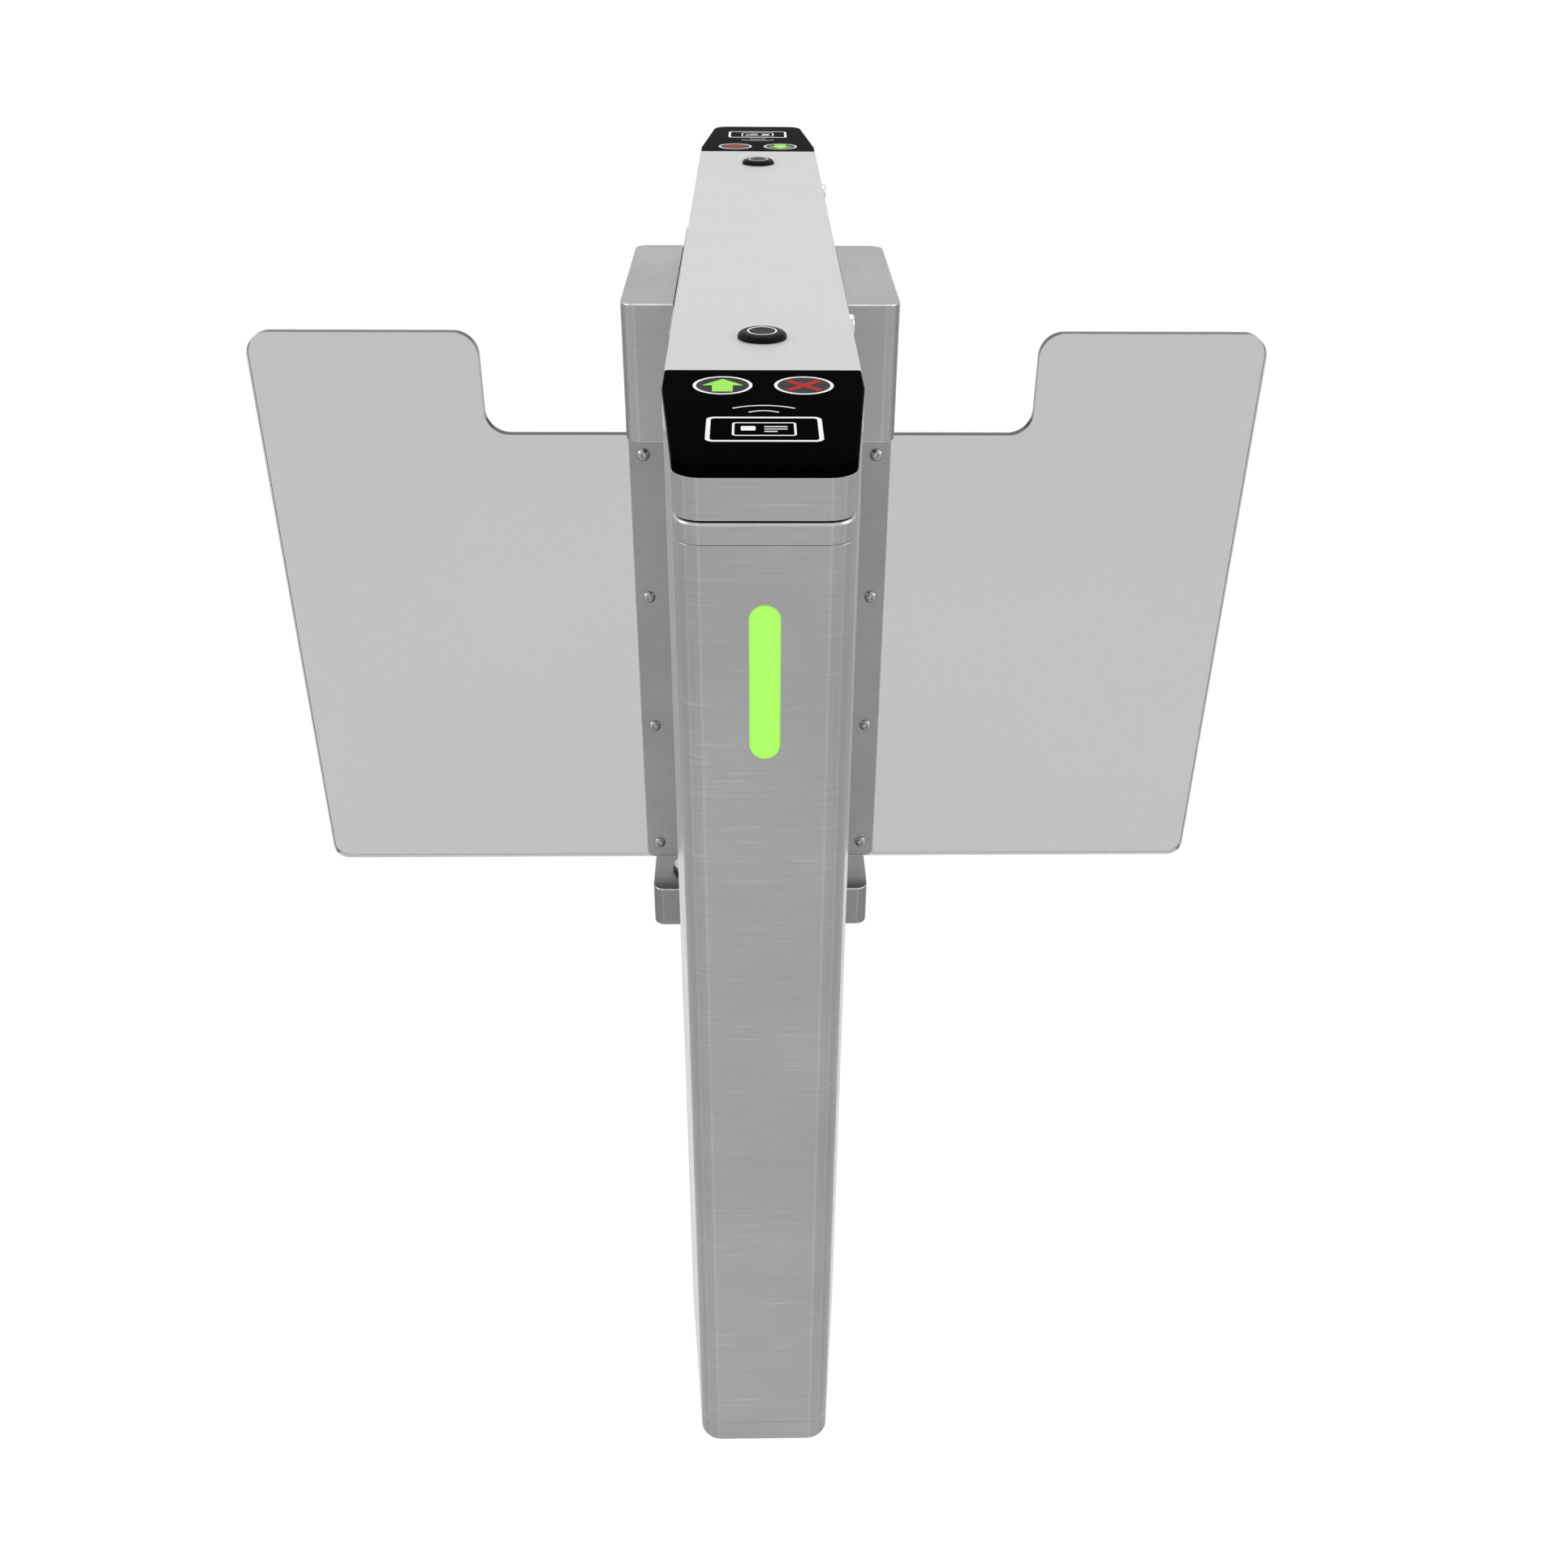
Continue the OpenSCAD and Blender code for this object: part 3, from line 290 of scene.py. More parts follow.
class Shape:
    """Closed surfaces that together make one piece.

    Each surface is a grid of points, of one row after another. It is put into the mesh as four-sided
    faces, with a flat face over each open end.
    """

    def __init__(self) -> None:
        """Starts with no surface."""
        self.points: list[np.ndarray] = []
        self.bends: list[np.ndarray] = []
        self.faces: list[list[int]] = []
        self.slots: list[int] = []
        self.count = 0

    def grid(
        self, rows: np.ndarray, ring: bool = False, bends: Optional[np.ndarray] = None, wall_slot: int = 0
    ) -> "Shape":
        """Adds a closed surface, turned so that its volume is positive.

        The volume is the sum of the triple products of the faces' corners.

        Args:
            rows: Points, by row, place in the row and axis.
            ring: Whether the last row meets the first one, instead of both having a flat face.
            bends: Weight of the points as bent edges, by row and place in the row.
            wall_slot: Material slot of the faces between rows.

        Returns:
            The shape itself.
        """
        many, wide = rows.shape[:2]
        index = np.arange(many * wide).reshape(many, wide)
        low = index if ring else index[:-1]
        high = np.roll(index, -1, 0) if ring else index[1:]
        walls = np.stack([low, np.roll(low, -1, 1), np.roll(high, -1, 1), high], -1).reshape(-1, 4)
        caps = [] if ring else [index[0][::-1], index[-1]]
        points = rows.reshape(-1, 3)
        flat = points - points.mean(0)
        a, b, c, d = (flat[walls[:, i]] for i in range(4))
        volume = (np.cross(a, b) * c + np.cross(a, c) * d).sum()
        for cap in caps:
            volume += (np.cross(flat[cap[1:-1]], flat[cap[2:]]) * flat[cap[0]]).sum()
        step = -1 if volume < 0 else 1
        self.faces += (walls[:, ::step] + self.count).tolist()
        self.faces += [(cap[::step] + self.count).tolist() for cap in caps]
        self.slots += [wall_slot] * len(walls) + [0] * len(caps)
        self.points.append(points)
        weights = np.broadcast_to(0.0 if bends is None else bends, (many, wide))
        self.bends.append(weights.reshape(-1))
        self.count += many * wide
        return self

    def loft(
        self, outline: Outline, levels: np.ndarray, plane: Plane = Plane.XY, wall_slot: int = 0
    ) -> "Shape":
        """Adds a solid whose outline is drawn in by levels, as rows of inset, height and bend weight."""
        rows = np.stack([placed(outline(inset), height, plane) for inset, height, _ in levels])
        return self.grid(rows, bends=levels[:, 2:], wall_slot=wall_slot)

    def band(self, outline: Outline, profile: np.ndarray, bends: np.ndarray) -> "Shape":
        """Adds a ring: a closed profile of insets and heights carried round an outline."""
        rows = np.stack([placed(outline(inset), height) for inset, height in profile])
        return self.grid(rows, ring=True, bends=bends[:, None])

    def lathe(
        self, profile: Corners, centre: Sequence[float], plane: Plane = Plane.XY,
        ring: bool = False, sides: int = 48,
    ) -> "Shape":
        """Adds a turned solid: a profile of radii and heights carried round a circle.

        Args:
            profile: Radius and height of each row.
            centre: Place of the axis' foot.
            plane: Plane across the axis.
            ring: Whether the profile is closed.
            sides: Points round the axis.

        Returns:
            The shape itself.
        """
        unit = circle(1.0, sides)
        rows = np.stack([placed(max(r, LEAST_R) * unit, h, plane) for r, h in profile])
        return self.grid(rows + np.asarray(centre), ring=ring)

    def rod(
        self, radius: float, low: float, high: float, centre: Sequence[float],
        plane: Plane = Plane.XY, sides: int = 48,
    ) -> "Shape":
        """Adds a plain round rod between two heights along its axis."""
        return self.lathe([(radius, low), (radius, high)], centre, plane, sides=sides)

    def turned(self, half: Half) -> "Shape":
        """Turns all surfaces half way round the upright axis if the second half is asked for."""
        self.points = [p * np.array([half.value, half.value, 1.0]) for p in self.points]
        return self

    def mesh_object(self, name: str) -> bpy.types.Object:
        """Makes a mesh object with the bend weights as an attribute.

        Args:
            name: Name of the object and of its mesh.

        Returns:
            The new object.
        """
        mesh = bpy.data.meshes.new(name)
        mesh.from_pydata(np.vstack(self.points), [], self.faces)
        mesh.polygons.foreach_set("material_index", self.slots)
        bend = mesh.attributes.new("bend", "FLOAT", "POINT")
        bend.data.foreach_set("value", np.concatenate(self.bends))
        mesh.update()
        item = bpy.data.objects.new(name, mesh)
        bpy.context.scene.collection.objects.link(item)
        return item

    def piece(
        self, name: str, body: str, finishes: Sequence[bpy.types.Material], half: Half = Half.FIRST,
        add: Optional["Shape"] = None, cut: Optional["Shape"] = None,
    ) -> bpy.types.Object:
        """Makes a finished piece that rides on a body.

        Args:
            name: Name of the piece.
            body: Body that carries it.
            finishes: Materials by slot.
            half: Half to which the shape, what is joined to it and what is cut from it are turned.
            add: Shape that is joined to it before the cut.
            cut: Shape that is taken away from it.

        Returns:
            The new object.
        """
        item = self.turned(half).mesh_object(name)
        for tool_shape, operation in ((add, Operation.JOIN), (cut, Operation.CUT)):
            if tool_shape is not None:
                combine(item, tool_shape.turned(half), operation)
        mesh = item.data
        mesh.polygons.foreach_set("use_smooth", np.ones(len(mesh.polygons), bool))
        mesh.normals_split_custom_set(corner_normals(mesh).tolist())
        mesh.materials.clear()
        for finish in finishes:
            mesh.materials.append(finish)
        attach(item, body)
        LOG.info("%s: %d faces on %s", name, len(mesh.polygons), body)
        return item


def combine(item: bpy.types.Object, tool_shape: Shape, operation: Operation) -> None:
    """Joins a shape to an object's mesh, or takes it away, and keeps the result as its mesh.

    Args:
        item: Object that is changed.
        tool_shape: Shape that is joined or taken away.
        operation: Which of the two is done.
    """
    tool = tool_shape.mesh_object(item.name + "_tool")
    step = item.modifiers.new("combine", "BOOLEAN")
    step.operation = operation.value
    step.solver = "EXACT"
    step.object = tool
    evaluated = item.evaluated_get(bpy.context.evaluated_depsgraph_get())
    mesh = bpy.data.meshes.new_from_object(evaluated)
    spare = [item.data, tool.data]
    item.modifiers.clear()
    item.data = mesh
    mesh.name = item.name
    bpy.data.objects.remove(tool)
    for old in spare:
        bpy.data.meshes.remove(old)


class Wiring:
    """Short way to add nodes to a node tree and to join them."""

    def __init__(self, tree: bpy.types.NodeTree) -> None:
        """Works on one tree, which it empties."""
        self.tree = tree
        tree.nodes.clear()

    def add(
        self, kind: str, inputs: Optional[dict[Union[str, int], Value]] = None, **settings: object
    ) -> bpy.types.Node:
        """Adds a node.

        Args:
            kind: Blender's name of the node type, without ShaderNode.
            inputs: Values or sockets for its inputs, by name or number.
            settings: Other settings of the node.

        Returns:
            The node.
        """
        node = self.tree.nodes.new("ShaderNode" + kind)
        for key, value in settings.items():
            setattr(node, key, value)
        self.feed(node, inputs or {})
        return node

    def feed(self, node: bpy.types.Node, inputs: dict[Union[str, int], Value]) -> None:
        """Sets inputs of a node to values, or joins them to outputs.

        Args:
            node: Node that is fed.
            inputs: Values or sockets, by the input's name or number.
        """
        for key, value in inputs.items():
            if isinstance(value, bpy.types.NodeSocket):
                self.tree.links.new(value, node.inputs[key])
            else:
                node.inputs[key].default_value = value

    def effect(self, group: bpy.types.NodeTree, **inputs: Value) -> bpy.types.NodeOutputs:
        """Places a shared effect and returns its outputs."""
        return self.add("Group", inputs, node_tree=group).outputs

    def place(self) -> bpy.types.NodeSocket:
        """Place on the object, in its own coordinates."""
        return self.add("TexCoord").outputs["Object"]

    def math(self, operation: str, a: Value, b: Value = 0.0, c: Value = 0.0) -> bpy.types.NodeSocket:
        """Adds a Math node and returns its result."""
        return self.add("Math", {0: a, 1: b, 2: c}, operation=operation).outputs[0]

    def times(self, a: Value, b: Value) -> bpy.types.NodeSocket:
        """Multiplies two numbers."""
        return self.math("MULTIPLY", a, b)

    def raised(self, base: Value, value: Value, by: float) -> bpy.types.NodeSocket:
        """Adds a share of a value to a base."""
        return self.math("MULTIPLY_ADD", value, by, base)

    def scaled(self, vector: Value, by: Value) -> bpy.types.NodeSocket:
        """Multiplies a vector by another one, axis by axis."""
        return self.add("VectorMath", {0: vector, 1: by}, operation="MULTIPLY").outputs[0]

    def between(
        self, value: Value, low: float, high: float, to_low: float = 0.0, to_high: float = 1.0
    ) -> bpy.types.NodeSocket:
        """Carries a value from one range to another, and stops at its ends."""
        return self.add("MapRange", {0: value, 1: low, 2: high, 3: to_low, 4: to_high}).outputs[0]

    def mixed(self, share: Value, a: Value, b: Value) -> bpy.types.NodeSocket:
        """Mixes two colours, the seventh and eighth inputs of the node."""
        return self.add("Mix", {0: share, 6: a, 7: b}, data_type="RGBA").outputs[2]

    def blended(self, share: Value, a: Value, b: Value) -> bpy.types.NodeSocket:
        """Mixes two vectors, the fifth and sixth inputs of the node."""
        return self.add("Mix", {0: share, 4: a, 5: b}, data_type="VECTOR").outputs[1]

    def ramp(self, value: Value, stops: Corners) -> bpy.types.NodeSocket:
        """Carries a value through a row of stops.

        Args:
            value: What is carried.
            stops: Place and result of each stop, both from 0 to 1.

        Returns:
            The result.
        """
        node = self.add("ValToRGB", {0: value})
        row = node.color_ramp.elements
        for place, _ in stops[2:]:
            row.new(place)
        for stop, (place, grey) in zip(row, stops):
            stop.position = place
            stop.color = (grey, grey, grey, 1.0)
        return node.outputs[0]

    def noise(self, vector: Value, scale: Value, detail: float = 2.0) -> bpy.types.NodeSocket:
        """Adds a noise pattern and returns its value."""
        inputs = {"Vector": vector, "Scale": scale, "Detail": detail}
        return self.add("TexNoise", inputs).outputs[0]

    def bump(self, height: Value, strength: float) -> bpy.types.NodeSocket:
        """Turns a height of a tenth of a millimetre into a normal."""
        return self.add("Bump", {"Strength": strength, "Distance": 0.1 * MM, "Height": height}).outputs[0]


class EffectWiring(Wiring):
    """Wiring of a shared effect: a node group that takes numbers and gives values."""

    def __init__(self, name: str, **inputs: float) -> None:
        """Starts the group.

        Args:
            name: Name of the group.
            inputs: Default of each number that the group takes.
        """
        super().__init__(bpy.data.node_groups.new(name, "ShaderNodeTree"))
        for key, default in inputs.items():
            self.socket(key, "INPUT").default_value = default
        self.entry = self.tree.nodes.new("NodeGroupInput")

    def socket(self, name: str, way: str) -> bpy.types.NodeTreeInterfaceSocket:
        """Adds a number to what the group takes or gives."""
        return self.tree.interface.new_socket(name, in_out=way, socket_type="NodeSocketFloat")

    def finished(self, **outputs: Value) -> bpy.types.NodeTree:
        """Joins the values that the group gives.

        Args:
            outputs: Values or sockets, by name.

        Returns:
            The group.
        """
        for key in outputs:
            self.socket(key, "OUTPUT")
        self.feed(self.tree.nodes.new("NodeGroupOutput"), outputs)
        return self.tree


class Effects:
    """The shared effects: brushed grain with painted reflection bands, smudges, and worn bends that also carry
    a painted highlight.
    """

    def __init__(self) -> None:
        """Builds each group once."""
        self.grain = self.brushed_grain()
        self.smudge = self.smudges()
        self.worn = self.worn_bends()

    @staticmethod
    def brushed_grain() -> bpy.types.NodeTree:
        """Fine lines of a brushed sheet, level on walls and lengthwise on level faces.

        Noise is stretched along the grain: across it the lines change some six hundred times faster.
        The object's own normal chooses between the two directions. Where the sheet bends from an end
        face to a side face, the same normal gives painted bands of reflected light and shade: lighter and
        darker tones by how far the face turns sideways.

        Returns:
            The group.
        """
        w = EffectWiring("brushed_grain", Across=3200.0, Along=5.0)
        place = w.add("TexCoord")
        turn = w.add("SeparateXYZ", {0: place.outputs["Normal"]})
        level = w.math("GREATER_THAN", w.math("ABSOLUTE", turn.outputs[2]), 0.7)
        sideways = w.math("ABSOLUTE", turn.outputs[0])

        def stretched(longer: float, finer: float, detail: float) -> bpy.types.NodeSocket:
            """Noise drawn out along the grain.

            Args:
                longer: Share of the usual changes along the grain.
                finer: Share of the usual changes across it.
                detail: Detail of the noise.

            Returns:
                Value of the noise.
            """
            along = w.times(w.entry.outputs["Along"], longer)
            across = w.times(w.entry.outputs["Across"], finer)
            wall = w.add("CombineXYZ", {0: along, 1: along, 2: across}).outputs[0]
            flat = w.add("CombineXYZ", {0: across, 1: along, 2: along}).outputs[0]
            stretch = w.blended(level, wall, flat)
            return w.noise(w.scaled(place.outputs["Object"], stretch), 1.0, detail)

        # Painted reflection: stops of a lighter or darker tone by how far the face turns sideways, standing
        # for light and shade reflected in the rounded corners.
        painted_band_stops = ((0.0, 0.8), (0.06, 0.8), (0.13, 0.9), (0.2, 0.76), (0.5, 0.72), (0.56, 0.78),
                 (0.64, 0.66), (0.97, 0.6), (0.988, 0.8), (1.0, 0.8))
        return w.finished(
            Lines=w.between(stretched(1.0, 1.0, 3.0), 0.3, 0.7),
            Streaks=w.between(stretched(6.0, 0.22, 4.0), 0.35, 0.68),
            Scratches=w.between(stretched(3.0, 0.3, 1.0), 0.66, 0.73),
            Bands=w.ramp(sideways, painted_band_stops),
            Side=w.between(sideways, 0.965, 0.99),
        )

    @staticmethod
    def smudges() -> bpy.types.NodeTree:
        """Soft cloudy marks left by cleaning, and sparse specks of dust.

        Returns:
            The group.
        """
        w = EffectWiring("smudge", Size=6.0)
        place = w.place()
        cloud = w.noise(place, w.entry.outputs["Size"], 5.0)
        speck = w.noise(place, 900.0, 1.0)
        return w.finished(Cloud=w.between(cloud, 0.35, 0.7), Specks=w.between(speck, 0.72, 0.8))

    @staticmethod
    def worn_bends() -> bpy.types.NodeTree:
        """Mask of the bent edges, where handling has polished the metal and a painted highlight brightens
        them, broken up by noise.

        Returns:
            The group.
        """
        w = EffectWiring("worn_bends", Breaks=40.0)
        bend = w.add("Attribute", attribute_name="bend").outputs["Fac"]
        patch = w.noise(w.place(), w.entry.outputs["Breaks"], 3.0)
        return w.finished(Mask=w.times(bend, w.between(patch, 0.3, 0.6, 0.45, 1.0)))


@dataclass(frozen=True)
class Finish:
    """A finish with a name, a base colour and a roughness; each kind adds its own pattern.

    The higher the number of clouds, the smaller are the cleaning marks.
    """

    name: str
    colour: tuple[float, float, float]
    roughness: float = 0.4
    spread: float = 0.1
    clouds: float = 30.0
    cloud_rough: float = 0.0

    def pattern(self, w: Wiring, effects: Effects) -> dict[str, Value]:
        """Wires this kind's pattern and returns what it gives the shader's inputs, by name."""
        raise NotImplementedError

    def build(self, effects: Effects) -> bpy.types.Material:
        """Makes the material.

        Args:
            effects: The shared effects.

        Returns:
            The material.
        """
        material = bpy.data.materials.new(self.name)
        material.use_nodes = True
        w = Wiring(material.node_tree)
        plain = {"Base Color": self.shade(1.0), "Roughness": self.roughness}
        shader = w.add("BsdfPrincipled", {**plain, **self.pattern(w, effects)})
        w.add("OutputMaterial", {"Surface": shader.outputs[0]})
        return material

    def shade(self, share: float) -> tuple[float, float, float, float]:
        """The base colour times a share."""
        return (*(min(1.0, c * share) for c in self.colour), 1.0)

    def toned(self, w: Wiring, value: Value, low: float, high: float) -> bpy.types.NodeSocket:
        """The base colour times a share that follows a value."""
        return w.mixed(value, self.shade(low), self.shade(high))

    def varied(self, w: Wiring, value: Value) -> bpy.types.NodeSocket:
        """The roughness, spread evenly about its own value."""
        return w.raised(self.roughness - self.spread / 2, value, self.spread)

    def marks_in(self, w: Wiring, effects: Effects) -> bpy.types.NodeSocket:
        """Cleaning marks of this finish's size."""
        return w.effect(effects.smudge, Size=self.clouds)["Cloud"]


@dataclass(frozen=True)
class BrushedMetal(Finish):
    """Sheet metal with brushed lines, scratches, cleaning marks, polished bends with a painted highlight, and
    painted reflection bands at its turns.
    """

    clouds: float = 8.0
    cloud_rough: float = 0.06
    worn_rough: float = -0.12
    fold_gain: float = 1.25
    metallic: float = 1.0
    across: float = 3200.0
    line_share: float = 0.55
    contrast: float = 0.09
    scratch_tone: float = 1.35
    stain_tone: float = 0.85
    scratches: float = 0.5
    stains: float = 0.5
    fold_dark: float = 1.0
    relief: float = 0.12
    edge_gain: float = 1.6
    side_roughness: float = 0.2

    def pattern(self, w: Wiring, effects: Effects) -> dict[str, Value]:
        """Lines and streaks, then scratches, stains, polished bends with a painted highlight, and the painted
        reflection bands of lighter and darker tone.

        Args:
            w: Wiring of the material.
            effects: The shared effects.

        Returns:
            Values and sockets for the shader's inputs, by name.
        """
        grain = w.effect(effects.grain, Across=self.across)
        cloud = self.marks_in(w, effects)
        worn = w.effect(effects.worn)["Mask"]
        lines, streaks = grain["Lines"], grain["Streaks"]
        both = w.raised(w.times(lines, self.line_share), streaks, 1 - self.line_share)
        tone = self.toned(w, both, 1 - self.contrast, 1 + self.contrast)
        tone = w.mixed(w.times(grain["Scratches"], self.scratches), tone, self.shade(self.scratch_tone))
        tone = w.mixed(w.times(cloud, self.stains), tone, self.shade(self.stain_tone))
        # Painted highlight: the bent edges are brightened, partly as polish from handling.
        tone = w.mixed(worn, tone, self.shade(self.edge_gain))
        # Painted reflection bands: the tone is scaled lighter or darker by how far the face turns sideways.
        painted_bands = w.math("POWER", w.times(grain["Bands"], self.fold_gain), self.fold_dark)
        rough = w.raised(self.varied(w, streaks), cloud, self.cloud_rough)
        rough = w.raised(rough, worn, self.worn_rough)
        return {
            "Metallic": self.metallic,
            "Base Color": w.scaled(tone, painted_bands),
            "Roughness": w.raised(rough, grain["Side"], self.side_roughness - self.roughness),
            "Normal": w.bump(lines, self.relief),
        }


@dataclass(frozen=True)
class PlainMetal(Finish):
    """Turned, cast or plated metal with fine turning marks and cloudy tone."""

    clouds: float = 25.0
    cloud_rough: float = 0.08
    marks: float = 500.0
    contrast: float = 0.1
    stains: float = 0.35
    stain_tone: float = 0.85
    relief: float = 0.12

    def pattern(self, w: Wiring, effects: Effects) -> dict[str, Value]:
        """Turning marks, dulled in cloudy patches.

        Args:
            w: Wiring of the material.
            effects: The shared effects.

        Returns:
            Values and sockets for the shader's inputs, by name.
        """
        mottle = w.noise(w.place(), self.marks, 3.0)
        cloud = self.marks_in(w, effects)
        tone = self.toned(w, mottle, 1 - self.contrast, 1 + self.contrast)
        rough = self.varied(w, mottle)
        return {
            "Metallic": 1.0,
            "Base Color": w.mixed(w.times(cloud, self.stains), tone, self.shade(self.stain_tone)),
            "Roughness": w.raised(rough, cloud, self.cloud_rough),
            "Normal": w.bump(mottle, self.relief),
        }


@dataclass(frozen=True)
class Moulded(Finish):
    """Plastic or rubber with a fine moulded grain."""

    clouds: float = 14.0
    grain: float = 1400.0
    relief: float = 0.2
    contrast: float = 0.12
    gloss: float = 0.5

    def pattern(self, w: Wiring, effects: Effects) -> dict[str, Value]:
        """Cloudy tone over fine pores.

        Args:
            w: Wiring of the material.
            effects: The shared effects.

        Returns:
            Values and sockets for the shader's inputs, by name.
        """
        cloud = self.marks_in(w, effects)
        return {
            "Specular IOR Level": self.gloss,
            "Base Color": self.toned(w, cloud, 1 - self.contrast, 1 + self.contrast),
            "Roughness": self.varied(w, cloud),
            "Normal": w.bump(w.noise(w.place(), self.grain), self.relief),
        }


@dataclass(frozen=True)
class GlossPanel(Finish):
    """Polished dark acrylic with faint wiping marks and dust."""

    clouds: float = 9.0
    cloud_rough: float = 0.07
    gloss: float = 0.0003
    dust_share: float = 0.25
    dust: tuple[float, float, float, float] = (0.05, 0.05, 0.052, 1.0)

    def pattern(self, w: Wiring, effects: Effects) -> dict[str, Value]:
        """Dust on the colour and wiping marks on the gloss.

        Args:
            w: Wiring of the material.
            effects: The shared effects.

        Returns:
            Values and sockets for the shader's inputs, by name.
        """
        smudge = w.effect(effects.smudge, Size=self.clouds)
        return {
            "Specular IOR Level": self.gloss,
            "Base Color": w.mixed(w.times(smudge["Specks"], self.dust_share), self.shade(1.0), self.dust),
            "Roughness": w.raised(self.roughness, smudge["Cloud"], self.cloud_rough),
        }


@dataclass(frozen=True)
class Glow(Finish):
    """Diffuser that shines evenly, with a slight fall at its rim."""

    gloss: float = 0.15
    breaks: float = 5.0
    cloud_tone: float = 0.97
    rim_tone: float = 0.6
    unlit_tone: float = 0.05

    def pattern(self, w: Wiring, effects: Effects) -> dict[str, Value]:
        """Light of the colour itself, over a nearly black base.

        Args:
            w: Wiring of the material.
            effects: The shared effects.

        Returns:
            Values and sockets for the shader's inputs, by name.
        """
        cloud = self.marks_in(w, effects)
        worn = w.effect(effects.worn, Breaks=self.breaks)["Mask"]
        lit = self.toned(w, cloud, self.cloud_tone, 1.0)
        return {
            "Emission Strength": 1.0,
            "Specular IOR Level": self.gloss,
            "Emission Color": w.mixed(worn, lit, self.shade(self.rim_tone)),
            "Base Color": self.shade(self.unlit_tone),
        }


@dataclass(frozen=True)
class CircuitBoard(Finish):
    """Solder-masked board with copper tracks under the lacquer."""

    clouds: float = 40.0
    cloud_rough: float = 0.15
    coat: float = 0.4
    coat_roughness: float = 0.1
    cells: float = 220.0
    pad_edge: tuple[float, float] = (0.1, 0.14)
    pad_metallic: float = 0.8
    track_edge: tuple[float, float] = (0.42, 0.46)
    track_tone: float = 1.9
    gold: tuple[float, float, float, float] = (0.62, 0.5, 0.25, 1.0)

    def pattern(self, w: Wiring, effects: Effects) -> dict[str, Value]:
        """Tracks are the borders of square cells, and pads their centres.

        Args:
            w: Wiring of the material.
            effects: The shared effects.

        Returns:
            Values and sockets for the shader's inputs, by name.
        """
        cells = w.add("TexVoronoi", {"Vector": w.place(), "Scale": self.cells}, distance="CHEBYCHEV")
        middle = cells.outputs["Distance"]
        pad = w.between(middle, *self.pad_edge, 1.0, 0.0)
        tracks = w.between(middle, *self.track_edge)
        cloud = self.marks_in(w, effects)
        return {
            "Coat Weight": self.coat,
            "Coat Roughness": self.coat_roughness,
            "Base Color": w.mixed(pad, self.toned(w, tracks, 1.0, self.track_tone), self.gold),
            "Roughness": w.raised(self.roughness, cloud, self.cloud_rough),
            "Metallic": w.times(pad, self.pad_metallic),
        }


@dataclass(frozen=True)
class TintedGlass(Finish):
    """Grey toughened glass with faint wiping marks."""

    clouds: float = 4.0
    cloud_rough: float = 0.01
    cloud_tone: float = 0.99
    ior: float = 1.45

    def pattern(self, w: Wiring, effects: Effects) -> dict[str, Value]:
        """Faint clouds in tone and gloss.

        Args:
            w: Wiring of the material.
            effects: The shared effects.

        Returns:
            Values and sockets for the shader's inputs, by name.
        """
        cloud = self.marks_in(w, effects)
        return {
            "Transmission Weight": 1.0,
            "IOR": self.ior,
            "Base Color": self.toned(w, cloud, 1.0, self.cloud_tone),
            "Roughness": w.raised(self.roughness, cloud, self.cloud_rough),
        }


@dataclass(frozen=True)
class GlassEdge(Finish):
    """Ground edge of the glass, painted a darker grey than its faces as shade for the dim light that passes
    through the edge.
    """

    tones: tuple[float, float] = (0.93, 1.05)

    def pattern(self, w: Wiring, effects: Effects) -> dict[str, Value]:
        """Cloudy tone."""
        return {"Base Color": self.toned(w, self.marks_in(w, effects), *self.tones)}


